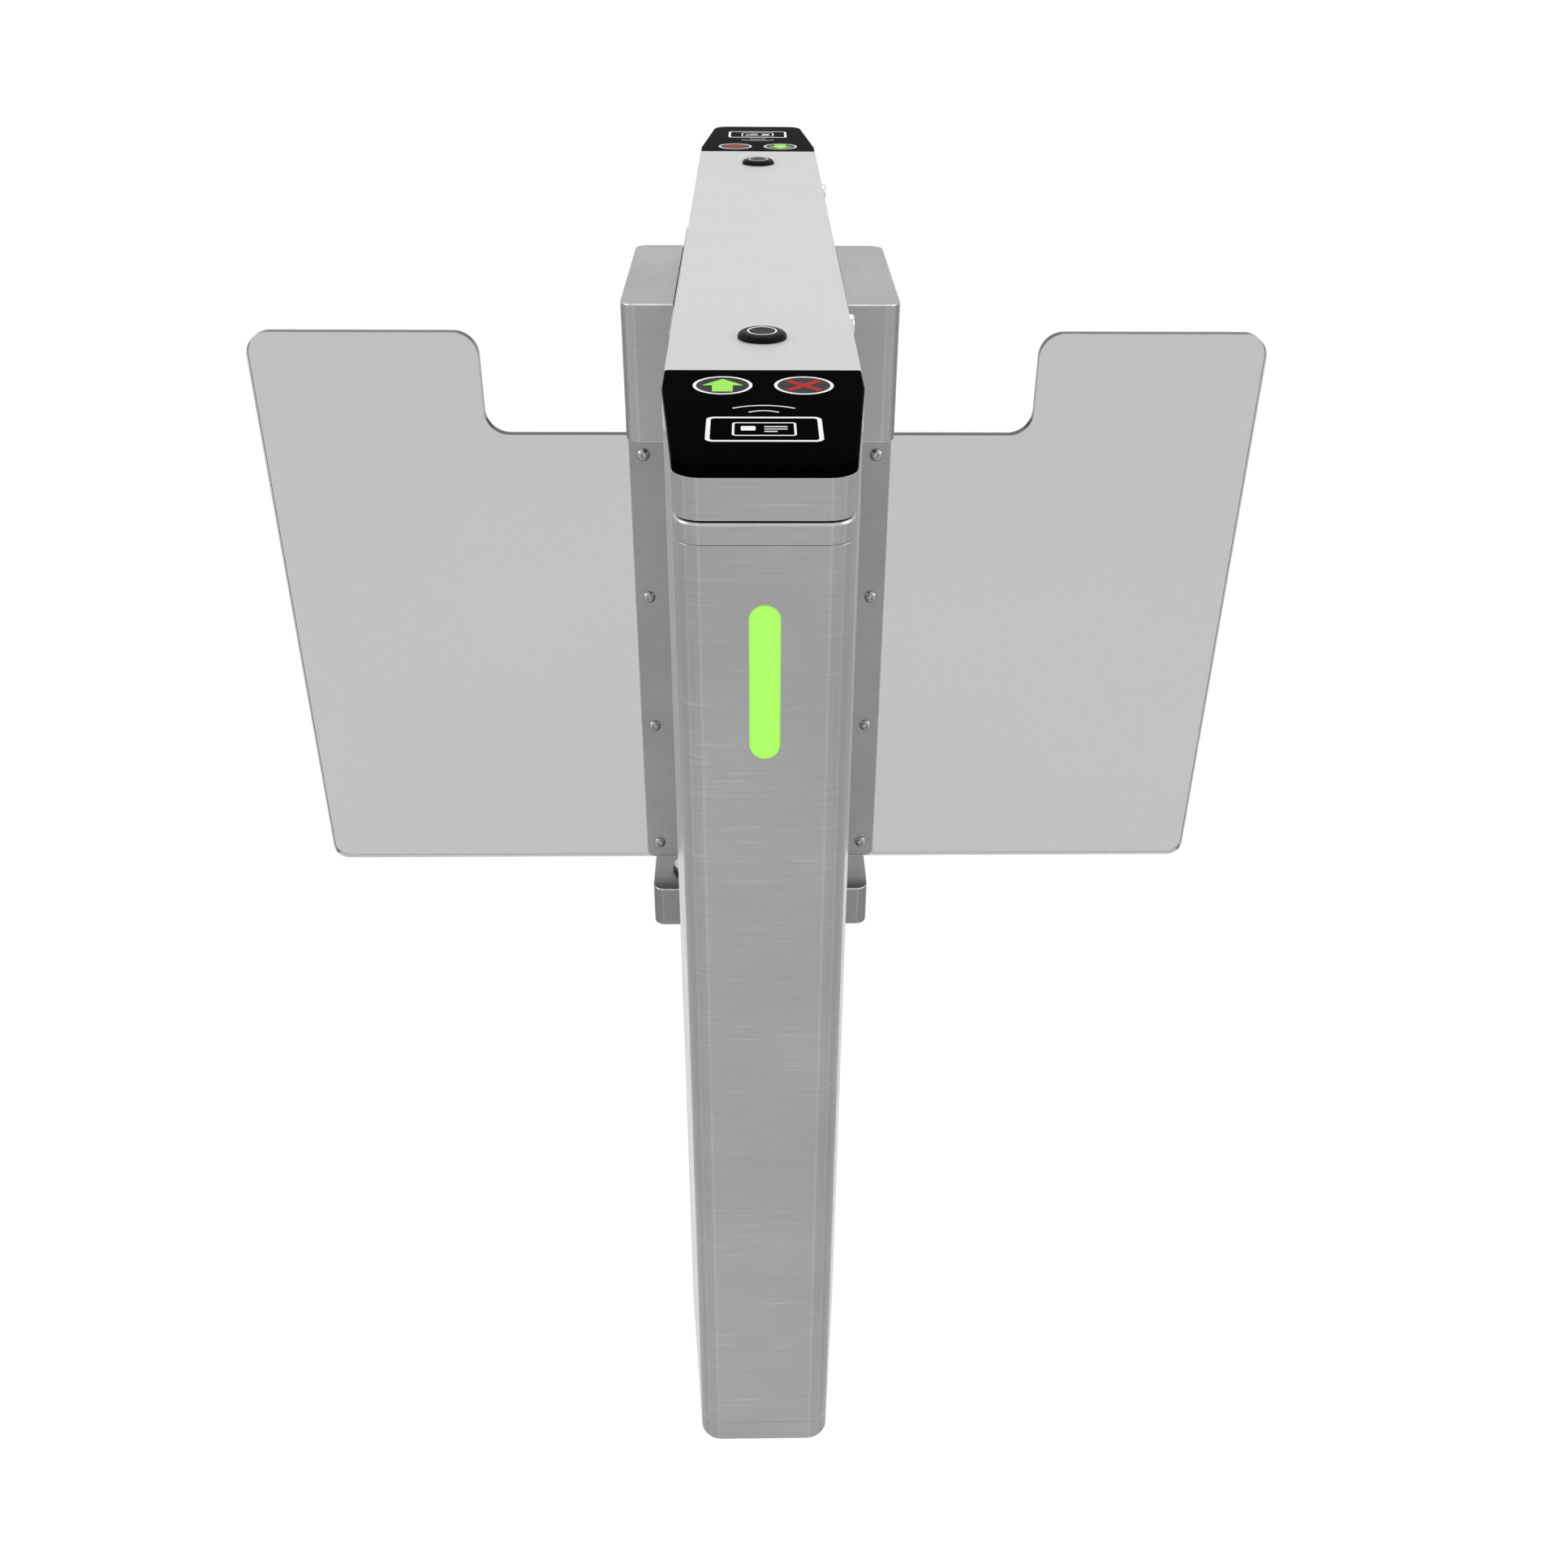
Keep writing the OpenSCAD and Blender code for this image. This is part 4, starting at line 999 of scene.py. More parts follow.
class Palette:
    """All finishes of the gate, by the record's material slots and by name."""

    def __init__(self) -> None:
        """Builds the finishes."""
        effects = Effects()
        finishes = [
            BrushedMetal("brushed_steel", (0.355, 0.355, 0.357), 0.34),
            # Painted shade: this steel's darker colour stands for the darker reflections on the polished
            # brackets, and its settings give a stronger painted edge highlight and deeper painted corner
            # bands.
            BrushedMetal("bright_steel", (0.25, 0.25, 0.252), 0.32, contrast=0.06, relief=0.05,
                         edge_gain=2.6, fold_dark=1.8, side_roughness=0.14),
            BrushedMetal("satin_steel", (0.6, 0.6, 0.605), 0.5, metallic=0.35, contrast=0.02, relief=0.04,
                         edge_gain=1.3, scratches=0.08, stains=0.08, side_roughness=0.5),
            BrushedMetal("clamp_steel", (0.32, 0.32, 0.323), 0.42, contrast=0.07, relief=0.08,
                         scratches=0.2, side_roughness=0.4),
            BrushedMetal("frame_steel", (0.3, 0.3, 0.305), 0.5, contrast=0.1, across=400.0,
                         side_roughness=0.5),
            PlainMetal("polished_steel", (0.55, 0.55, 0.56), 0.2),
            PlainMetal("chrome", (0.62, 0.62, 0.63), 0.12, relief=0.03),
            # Painted shade: the screws' steel is darker than chrome so that it stands for dark reflections in
            # their heads.
            PlainMetal("screw_steel", (0.34, 0.34, 0.345), 0.2, relief=0.05),
            PlainMetal("gear_brass", (0.6, 0.43, 0.18), 0.3),
            PlainMetal("zinc_sheet", (0.5, 0.51, 0.53), 0.4, marks=90.0, contrast=0.2),
            PlainMetal("motor_metal", (0.16, 0.16, 0.17), 0.45),
            GlossPanel("black_gloss", (0.0012, 0.0012, 0.0012), 0.06),
            Moulded("black_plastic", (0.012, 0.012, 0.012), 0.5),
            Moulded("button_plastic", (0.006, 0.006, 0.006), 0.38, relief=0.1, gloss=0.05),
            Moulded("black_rubber", (0.011, 0.011, 0.011), 0.8, grain=700.0),
            Moulded("opal_plastic", (0.8, 0.8, 0.8), 0.35, contrast=0.03, relief=0.06),
            Glow("green_light", (0.42, 1.0, 0.135), 0.4),
            CircuitBoard("circuit_board", (0.015, 0.09, 0.035), 0.35),
            TintedGlass("grey_glass", (0.5, 0.5, 0.512), 0.0),
            GlassEdge("glass_edge", (0.19, 0.19, 0.194), 0.35),
            Moulded("white_print", (0.95, 0.95, 0.95), 0.4, contrast=0.02, relief=0.05),
            Moulded("grey_print", (0.023, 0.023, 0.023), 0.35, contrast=0.05, relief=0.05, gloss=0.02),
            Moulded("red_print", (0.5, 0.012, 0.012), 0.4, contrast=0.05, relief=0.05, gloss=0.02),
            Moulded("green_print", (0.39, 0.9, 0.13), 0.4, contrast=0.03, relief=0.05, gloss=0.02),
        ]
        self.materials = {finish.name: finish.build(effects) for finish in finishes}

    def __getitem__(self, name: str) -> bpy.types.Material:
        """The material of that name."""
        return self.materials[name]

    def dress_frame(self) -> None:
        """Gives each CAD node the finish of its material slot in the record."""
        for name, slot in SLOTS.items():
            mesh = frame["nodes"][name].data
            mesh.materials.clear()
            mesh.materials.append(self[slot])


@dataclass(frozen=True)
class Plan:
    """Plan of the cabinet: straight sides that narrow towards two blunt noses."""

    half_w: float = 75 * MM
    half_l: float = 700 * MM
    kink_y: float = 530 * MM
    nose_half: float = 60 * MM
    nose_r: float = 20 * MM
    bend_r: float = 3 * MM

    def loop(self, inset: float = 0.0) -> np.ndarray:
        """Whole outline.

        Args:
            inset: How far it is drawn in.

        Returns:
            Points, one per row.
        """
        quarter = [(self.nose_half, -self.half_l), (self.half_w, -self.kink_y)]
        right = quarter + [(x, -y) for x, y in quarter[::-1]]
        corners = right + [(-x, -y) for x, y in right]
        radii = [self.nose_r, self.bend_r, self.bend_r, self.nose_r] * 2
        return round_loop(corners, radii, inset)

    def nose(self, back: float) -> np.ndarray:
        """Corners of the front nose, from the left end of its straight back round to the right one."""
        left = [(-self.half_w, back), (-self.half_w, -self.kink_y), (-self.nose_half, -self.half_l)]
        return np.array(left + [(-x, y) for x, y in left[::-1]])

    def side_x(self, y: float) -> float:
        """Half width at a place along the tapered nose."""
        share = (abs(y) - self.kink_y) / (self.half_l - self.kink_y)
        return self.half_w + max(share, 0.0) * (self.nose_half - self.half_w)


@dataclass
class SubAssembly:
    """A group of pieces that stand for CAD nodes."""

    finishes: Palette

    def dress(
        self, shape: Shape, node: str, *finishes: str, slot: Optional[str] = None,
        **options: Union[Half, Shape],
    ) -> None:
        """Puts a piece in the place of a CAD node, on the node's body.

        Args:
            shape: Shape of the piece.
            node: Name of the node and of the piece.
            finishes: Names of its finishes.
            slot: The record's material slot, if it isn't the node's own; not used.
            options: Half, added shape and cut shape, as for any piece.
        """
        body = frame["nodes"][node]["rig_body"]
        item = shape.piece(node, body, [self.finishes[name] for name in finishes], **options)
        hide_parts(node)


@dataclass
class Cabinet(SubAssembly):
    """Outer sheets of the cabinet: end columns, side panels, rim and skirt, with the two end lights."""

    plan: Plan
    wall: float = 2 * MM
    flange: float = 13 * MM
    edge_r: float = 0.6 * MM
    fold_r: float = 1.4 * MM
    rim_r: float = 3 * MM
    rim_flange: float = 14 * MM
    foot_r: float = 0.4 * MM
    skirt_edge_r: float = 0.5 * MM
    skirt_wear: float = 0.4
    lens_border: float = 5 * MM
    lens_gap: float = 0.2 * MM
    lens_edge_r: float = 0.8 * MM
    lens_t: float = 3.4 * MM
    lens_flange_t: float = 1.9 * MM
    lens_roundness: float = 0.999
    lens_steps: int = 13
    sensor_r: float = 8.1 * MM
    sensor_y: float = 492 * MM
    sensor_z: tuple[float, ...] = (350 * MM, 640 * MM)
    drive_half: float = 120 * MM
    drive_z: tuple[float, float] = (823.4 * MM, 937 * MM)
    drive_r: float = 1 * MM
    floor_t: float = 6 * MM
    anchor_r: float = 7 * MM
    anchor_x: float = 40 * MM
    anchor_y: float = 600 * MM
    cable_r: float = 25 * MM
    cable_y: float = 300 * MM

    def c_sheet(self, outer: Corners, radii: Sequence[float], low: float, high: float) -> Shape:
        """Upright sheet whose plan is an open run of sides with a return flange at both ends.

        Args:
            outer: Outer corners, counter-clockwise, the last side being the open one.
            radii: Outer radius of each corner.
            low: Lower end.
            high: Upper end.

        Returns:
            The sheet.
        """
        corners = np.array(outer)
        inner, _, _ = moved_sides(corners, np.full(len(corners), self.wall))
        across = corners[0] - corners[-1]
        across = across / np.linalg.norm(across)
        back = inner[-1] + across * (self.flange - abs((inner[-1] - corners[-1]) @ across))
        front = inner[0] - across * (self.flange - abs((inner[0] - corners[0]) @ across))
        tips = [corners[-1] + across * self.flange, back]
        ends = [front, corners[0] - across * self.flange]
        points = [*corners, *tips, *inner[::-1], *ends]
        inside = [max(r - self.wall, FINE_R) for r in radii[::-1]]
        all_radii = [*radii, FINE_R, FINE_R, *inside, FINE_R, FINE_R]
        levels = edge_levels(low, high, self.edge_r, self.edge_r)
        return Shape().loft(rounded(points, all_radii), levels)

    def light_outline(self, border: float) -> Outline:
        """Upright outline of the light strip, with ends a hair short of half circles.

        Args:
            border: How far it lies within the diffuser's flange.

        Returns:
            Function from an inset to the outline.
        """
        low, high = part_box("light_lens_front")
        radius = (high[0] - low[0]) / 2 - border
        corners = rectangle(-radius, low[2] + border, radius, high[2] - border)
        return rounded(corners, self.lens_roundness * radius, steps=self.lens_steps)

    def column(self, half: Half) -> None:
        """End column with the slot of its light strip.

        Args:
            half: Which of the two is built.
        """
        low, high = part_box("end_column_front")
        start, nose, front = high[1], self.plan.nose_half, -self.plan.half_l
        side = self.plan.side_x(start)
        outer = [(-side, start), (-nose, front), (nose, front), (side, start)]
        radii = [self.fold_r, self.plan.nose_r, self.plan.nose_r, self.fold_r]
        sheet = self.c_sheet(outer, radii, low[2], high[2])
        depth = straight_levels(front - PAST, front + PAST)
        opening = Shape().loft(self.light_outline(self.lens_border), depth, Plane.XZ)
        self.dress(sheet, f"end_column_{half.end}", "brushed_steel", half=half, cut=opening)

    def side_panel(self, half: Half) -> None:
        """Side panel with its sensor holes and the opening for the drive.

        Args:
            half: Which of the two is built.
        """
        low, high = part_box("side_panel_right")
        side = self.plan.half_w
        inner, tip = side - self.wall, side - self.flange
        front, back = low[1], high[1]
        points = [
            (side, front), (side, back), (tip, back), (tip, back - self.wall), (inner, back - self.wall),
            (inner, front + self.wall), (tip, front + self.wall), (tip, front),
        ]
        radii = [self.fold_r, self.fold_r, *[FINE_R] * 6]
        levels = edge_levels(low[2], high[2], self.edge_r, self.edge_r)
        sheet = Shape().loft(rounded(points, radii), levels)
        cut = Shape()
        near, far = side - PAST, side + PAST
        for y in (-self.sensor_y, self.sensor_y):
            for z in self.sensor_z:
                cut.rod(self.sensor_r, near, far, (0, y, z), Plane.YZ)
        opening = rectangle(-self.drive_half, self.drive_z[0], self.drive_half, self.drive_z[1])
        cut.loft(rounded(opening, self.drive_r), straight_levels(near, far), Plane.YZ)
        self.dress(sheet, f"side_panel_{half.side}", "brushed_steel", half=half, cut=cut)

    def rim(self) -> None:
        """Rim band with its inward flange and a round upper edge."""
        low, high = span("rim_frame")
        profile = [
            (0, low), (0, high), (self.rim_flange, high), (self.rim_flange, high - self.wall),
            (self.wall, high - self.wall), (self.wall, low),
        ]
        radii = [self.foot_r, self.rim_r, FINE_R, FINE_R, FINE_R, FINE_R]
        # Its round edges carry bend weights, which the steel finish brightens as wear and as a painted
        # highlight.
        shape = Shape().band(self.plan.loop, round_loop(profile, radii), bend_weights(6))
        self.dress(shape, "rim_frame", "brushed_steel")

    def skirt(self) -> None:
        """Base skirt with the floor plate, its anchor holes and the cable entry."""
        low, high = span("base_frame")
        foot = low + GAP
        profile = [(0, foot), (0, high), (self.wall, high), (self.wall, foot)]
        radii = [self.foot_r, self.skirt_edge_r, FINE_R, FINE_R]
        # The skirt's bends take a smaller share of the wear and painted highlight.
        wall = Shape().band(self.plan.loop, round_loop(profile, radii), self.skirt_wear * bend_weights(4))
        levels = edge_levels(low, self.floor_t, TIP_R, TIP_R)
        floor_plate = Shape().loft(lambda inset: self.plan.loop(self.wall / 2 + inset), levels)
        cut = Shape()
        below, above = low - PAST, high + PAST
        for x in (-self.anchor_x, self.anchor_x):
            for y in (-self.anchor_y, self.anchor_y):
                cut.rod(self.anchor_r, below, above, (x, y, 0))
        cut.rod(self.cable_r, below, above, (0, self.cable_y, 0))
        self.dress(wall, "base_frame", "brushed_steel", add=floor_plate, cut=cut)

    def lens(self, half: Half) -> None:
        """Diffuser of an end light, with a flange behind the sheet.

        Args:
            half: Which of the two is built.
        """
        low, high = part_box("light_lens_front")
        face = self.light_outline(self.lens_border)
        levels = edge_levels(low[1], low[1] + self.lens_t, self.lens_edge_r, GAP)
        shape = Shape().loft(lambda inset: face(inset + self.lens_gap), levels, Plane.XZ)
        behind = edge_levels(high[1] - self.lens_flange_t, high[1], FINE_R, FINE_R)
        shape.loft(self.light_outline(0.0), behind, Plane.XZ)
        self.dress(shape, f"light_lens_{half.end}", "green_light", half=half)

    def build(self) -> None:
        """Builds all outer sheets."""
        for half in Half:
            self.column(half)
            self.side_panel(half)
            self.lens(half)
        self.rim()
        self.skirt()


@dataclass
class Lid(SubAssembly):
    """Sheets of the hinged lid: walls, satin top plate and black end panels."""

    plan: Plan
    wall: float = 2 * MM
    flange: float = 14 * MM
    edge_r: float = 0.5 * MM
    ledge_r: float = 0.25 * MM
    overhang: float = 0.8 * MM
    lap: float = 0.8
    slip: float = 0.05 * MM
    deck_bend_r: float = 2 * MM
    open_back: tuple[float, ...] = (1, 1, 1, 1, 1, 0)
    ledge: Corners = ((0.7, 0.0), (0.96, 0.3), (1.0, 2.0))
    tray_end: float = 501.85 * MM
    light_hole_r: float = 20.6 * MM
    window_y: float = 628 * MM
    window_half: tuple[float, float] = (42 * MM, 26 * MM)
    window_r: float = 1 * MM
    plate_r: float = 0.5 * MM
    plate_edge_r: float = 0.9 * MM
    plate_shares: tuple[float, ...] = (0.3, 1, 0.3, 1)
    panel_foot_r: float = 0.4 * MM
    panel_edge_r: float = 2.4 * MM
    panel_bend_r: float = 4 * MM
    panel_tip_r: float = 0.5 * MM
    panel_shares: tuple[float, ...] = (1, 1, 1, 1, 1, 0.2)

    def wall_rows(self, half: Half) -> np.ndarray:
        """Rows of a straight wall with its lower flange and its upper ledge.

        Under the black panels the wall ends at their foot, and the ledge is drawn back into the wall, at
        corners that are given as shares of its thickness inwards and down.

        Args:
            half: Which of the two walls is built.

        Returns:
            Points by row.
        """
        low, high = span("lid_tray")
        shelf, _ = span("panel_front")
        _, joint = span("lid_top", 1)
        side, t = self.plan.half_w, self.wall
        inner, tip = side - t, side - self.flange
        foot = [(inner, low + t), (tip, low + t), (tip, low), (inner, low)]
        foot += [(inner, low - self.overhang), (side, low - self.overhang)]
        tall = [(side, high), (tip, high), (tip, high - t), (inner, high - t)]
        short = [(side, shelf)] + [(side - inwards * t, shelf - down * t) for inwards, down in self.ledge]
        radii = [FINE_R] * 5 + [self.edge_r] + [self.ledge_r] * 4
        ends = [(-self.tray_end, short), (-joint, short), (GAP - joint, tall)]
        ends += [(-y, top) for y, top in ends[::-1]]
        loops = [(round_loop(foot + top, radii, steps=4) * [half.value, 1], y) for y, top in ends]
        return np.stack([placed(loop, y, Plane.XZ) for loop, y in loops])

    def drawn_in(self, start: float, inset: float) -> np.ndarray:
        """Corners of the front nose from a start, drawn in by an inset but for their open back."""
        corners, _, _ = moved_sides(self.plan.nose(start), inset * np.array(self.open_back))
        return corners

    def nose_radii(self, inset: float, bend_r: float) -> list[float]:
        """Radii of the drawn-in nose's corners."""
        nose_r = self.plan.nose_r - inset
        return [TIP_R, bend_r, nose_r, nose_r, bend_r, TIP_R]

    def strip(self, start: float, outer: float, inner: float, half: Half) -> Outline:
        """U-shaped strip round a nose.

        Args:
            start: Place of its ends along the gate.
            outer: Inset of its outer side.
            inner: Inset of its inner side.
            half: Which of the two noses it goes round.

        Returns:
            Function from an inset to the outline.
        """
        corners = np.vstack([self.drawn_in(start, outer), self.drawn_in(start, inner)[::-1]])
        bend_r = self.plan.bend_r
        return rounded(corners, self.nose_radii(outer, bend_r) + self.nose_radii(inner, bend_r), half)

    def walls(self) -> None:
        """Side walls and end shells of the lid, with their flanges, decks and holes."""
        low, _ = span("lid_tray")
        shelf, _ = span("panel_front")
        start, slip, lap = -self.tray_end - FINE_R, self.slip, self.lap * self.wall
        wall_levels = edge_levels(low - self.overhang, shelf, self.edge_r, TIP_R)
        lip_levels = edge_levels(low + slip, low + self.wall, TIP_R, TIP_R)
        deck_levels = edge_levels(shelf - self.wall, shelf - slip, TIP_R, TIP_R)
        deck, deck_radii = self.drawn_in(start - 6 * slip, lap), self.nose_radii(lap, self.deck_bend_r)
        walls = Shape().grid(self.wall_rows(Half.FIRST)).grid(self.wall_rows(Half.SECOND))
        inside = Shape()
        for half in Half:
            walls.loft(self.strip(start, 0, self.wall, half), wall_levels)
            inside.loft(self.strip(start - 4 * slip, lap, self.flange, half), lip_levels)
            inside.loft(rounded(deck, deck_radii, half), deck_levels)
        self.dress(walls, "lid_tray", "brushed_steel", add=inside, cut=self.holes(shelf))

    def holes(self, shelf: float) -> Shape:
        """Holes for the lights under the discs, windows over the card readers and bores of the locks.

        Args:
            shelf: Height of the face under the black panels.

        Returns:
            What is cut from the lid's walls.
        """
        low, high = shelf - PAST, shelf + PAST
        holes = Shape()
        half_x, half_y = self.window_half
        for half in Half:
            for x in (-Signs.disc_x, Signs.disc_x):
                holes.rod(self.light_hole_r, low, high, (x, half.value * Signs.disc_y, 0))
            y = half.value * self.window_y
            window = rectangle(-half_x, y - half_y, half_x, y + half_y)
            holes.loft(rounded(window, self.window_r), straight_levels(low, high))
            side, place = self.plan.half_w, (0, half.value * Locks.place_y, Locks.place_z)
            holes.rod(Locks.barrel_r + GAP, side - PAST, side + PAST, place, Plane.YZ)
        return holes

    def top_plate(self) -> None:
        """Satin plate with two holes for the buttons."""
        low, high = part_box("lid_top")
        corners = rectangle(low[0], low[1], high[0], high[1])
        levels = edge_levels(low[2], high[2], TIP_R, self.plate_edge_r)
        plate = Shape().loft(rounded(corners, self.plate_r, shares=self.plate_shares), levels)
        cut = Shape()
        for y in (-Buttons.place_y, Buttons.place_y):
            cut.rod(Buttons.neck_r + GAP, low[2] - PAST, high[2] + PAST, (0, y, 0))
        self.dress(plate, "lid_top", "satin_steel", cut=cut)

    def panel(self, half: Half) -> None:
        """Black end panel with soft edges.

        Args:
            half: Which of the two is built.
        """
        low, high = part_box("panel_front")
        corners = self.plan.nose(high[1])
        corners[2:4, 1] = low[1]
        quarter = [self.panel_tip_r, self.panel_bend_r, self.plan.nose_r]
        levels = edge_levels(low[2], high[2], self.panel_foot_r, self.panel_edge_r, steps=6)
        shape = Shape().loft(rounded(corners, quarter + quarter[::-1], shares=self.panel_shares), levels)
        self.dress(shape, f"panel_{half.end}", "black_gloss", half=half)

    def build(self) -> None:
        """Builds the lid with its signs, buttons and locks."""
        self.walls()
        self.top_plate()
        for half in Half:
            self.panel(half)
            Signs(self.finishes, half).build()
        Buttons(self.finishes).build()
        Locks(self.finishes, self.plan).build()


@dataclass
class Buttons(SubAssembly):
    """The two round buttons on the lid: bezels, printed rings and moving caps."""

    place_y: float = 400 * MM
    radius: float = 20 * MM
    rim_h: float = 1.4 * MM
    slope: float = 6.2 * MM
    neck_r: float = 14 * MM
    nut_r: float = 18 * MM
    nut_z: tuple[float, float] = (993 * MM, 997.9 * MM)
    pin_r: float = 0.5 * MM
    seat: float = 2 * MM
    cap_r: float = 10 * MM
    cap_edge_r: float = 0.7 * MM
    cap_dish: Corners = ((7 * MM, 0.15 * MM), (3 * MM, 0.3 * MM), (0.2 * MM, 0.32 * MM))
    ring: tuple[float, float] = (10.7 * MM, 12.1 * MM)
    ring_t: float = 0.08 * MM
    sides: int = 64

    def bezels(self) -> None:
        """Bezels with a soft shoulder, a neck and a nut, and the printed rings on them.

        The shoulder is a quarter of an ellipse: its radius falls by one less the cosine of an angle
        while its height rises by the sine.
        """
        low, high = span("button_bezels")
        _, plate = span("lid_top")
        hole, foot, side = self.cap_r + TIP_R, plate + GAP, plate + self.rim_h
        nut_low, nut_high = self.nut_z
        a = np.linspace(np.pi / 2, 0, 8)
        shoulder = [self.radius - self.slope * (1 - np.cos(a)), side + (high - side) * np.sin(a)]
        profile = [
            (hole, low + self.seat), (hole, high - FINE_R), (hole + FINE_R, high), *np.stack(shoulder, 1),
            (self.radius, foot + FINE_R), (self.radius - FINE_R, foot), (self.neck_r, foot),
            (self.neck_r, nut_high), (self.nut_r, nut_high), (self.nut_r, nut_low), (self.neck_r, nut_low),
            (self.neck_r, low), (self.pin_r, low), (self.pin_r, low + self.seat),
        ]
        ring = rectangle(self.ring[0], high - GAP, self.ring[1], high + self.ring_t)
        bezels, rings = Shape(), Shape()
        for y in (-self.place_y, self.place_y):
            bezels.lathe(profile, (0, y, 0), ring=True, sides=self.sides)
            rings.lathe(ring, (0, y, 0), ring=True, sides=self.sides)
        self.dress(bezels, "button_bezels", "button_plastic", slot="button_plastic")
        rings.piece("button_rings", "lid", [self.finishes["white_print"]])

    def cap(self, half: Half) -> None:
        """Moving cap with a quarter-round edge and a slightly hollow top.

        Args:
            half: Which of the two is built.
        """
        low, high = span("request_button_front")
        a = np.linspace(0, np.pi / 2, 5)
        edge = [self.cap_r - self.cap_edge_r * (1 - np.cos(a)), high - self.cap_edge_r * (1 - np.sin(a))]
        dish = [(radius, high - depth) for radius, depth in self.cap_dish]
        foot = [(dish[-1][0], low), (self.cap_r - TIP_R, low), (self.cap_r, low + FINE_R)]
        shape = Shape().lathe([*foot, *np.stack(edge, 1), *dish], (0, -self.place_y, 0), sides=self.sides)
        self.dress(shape, f"request_button_{half.end}", "grey_print", half=half)

    def build(self) -> None:
        """Builds the bezels and both caps."""
        self.bezels()
        for half in Half:
            self.cap(half)


@dataclass
class Locks(SubAssembly):
    """The two chrome cam locks in the right wall of the lid: turned head, barrel and hexagon nut."""

    plan: Plan
    place_y: float = 300 * MM
    place_z: float = 984 * MM
    bore_r: float = 4.55 * MM
    bevel: float = 0.4 * MM
    head: Corners = ((7.3 * MM, 0.0), (7.9 * MM, 0.2 * MM), (8.7 * MM, 1.1 * MM), (9 * MM, 1.8 * MM))
    head_foot: float = 0.4 * MM
    barrel_r: float = 7.5 * MM
    barrel_bevel: float = 0.5 * MM
    nut_r: float = 10.5 * MM
    nut_depth: tuple[float, float] = (6 * MM, 2.1 * MM)

    def build(self) -> None:
        """Builds both locks as one piece."""
        low, high = span("lock_bodies", 0)
        side, bore, barrel = self.plan.half_w, self.bore_r, self.barrel_r
        seat, head_r = side + GAP, self.head[-1][0]
        profile = [
            (bore, low), (bore, high - self.bevel), (bore + self.bevel, high),
            *[(radius, high - drop) for radius, drop in self.head],
            (head_r, side + self.head_foot), (head_r - TIP_R, seat), (barrel, seat),
            (barrel, low + self.barrel_bevel), (barrel - self.barrel_bevel, low),
        ]
        nut = rectangle(barrel + GAP, side - self.nut_depth[0], self.nut_r, side - self.nut_depth[1])
        shape = Shape()
        for y in (-self.place_y, self.place_y):
            shape.lathe(profile, (0, y, self.place_z), Plane.YZ, ring=True)
            shape.lathe(nut, (0, y, self.place_z), Plane.YZ, ring=True, sides=6)
        self.dress(shape, "lock_bodies", "chrome")


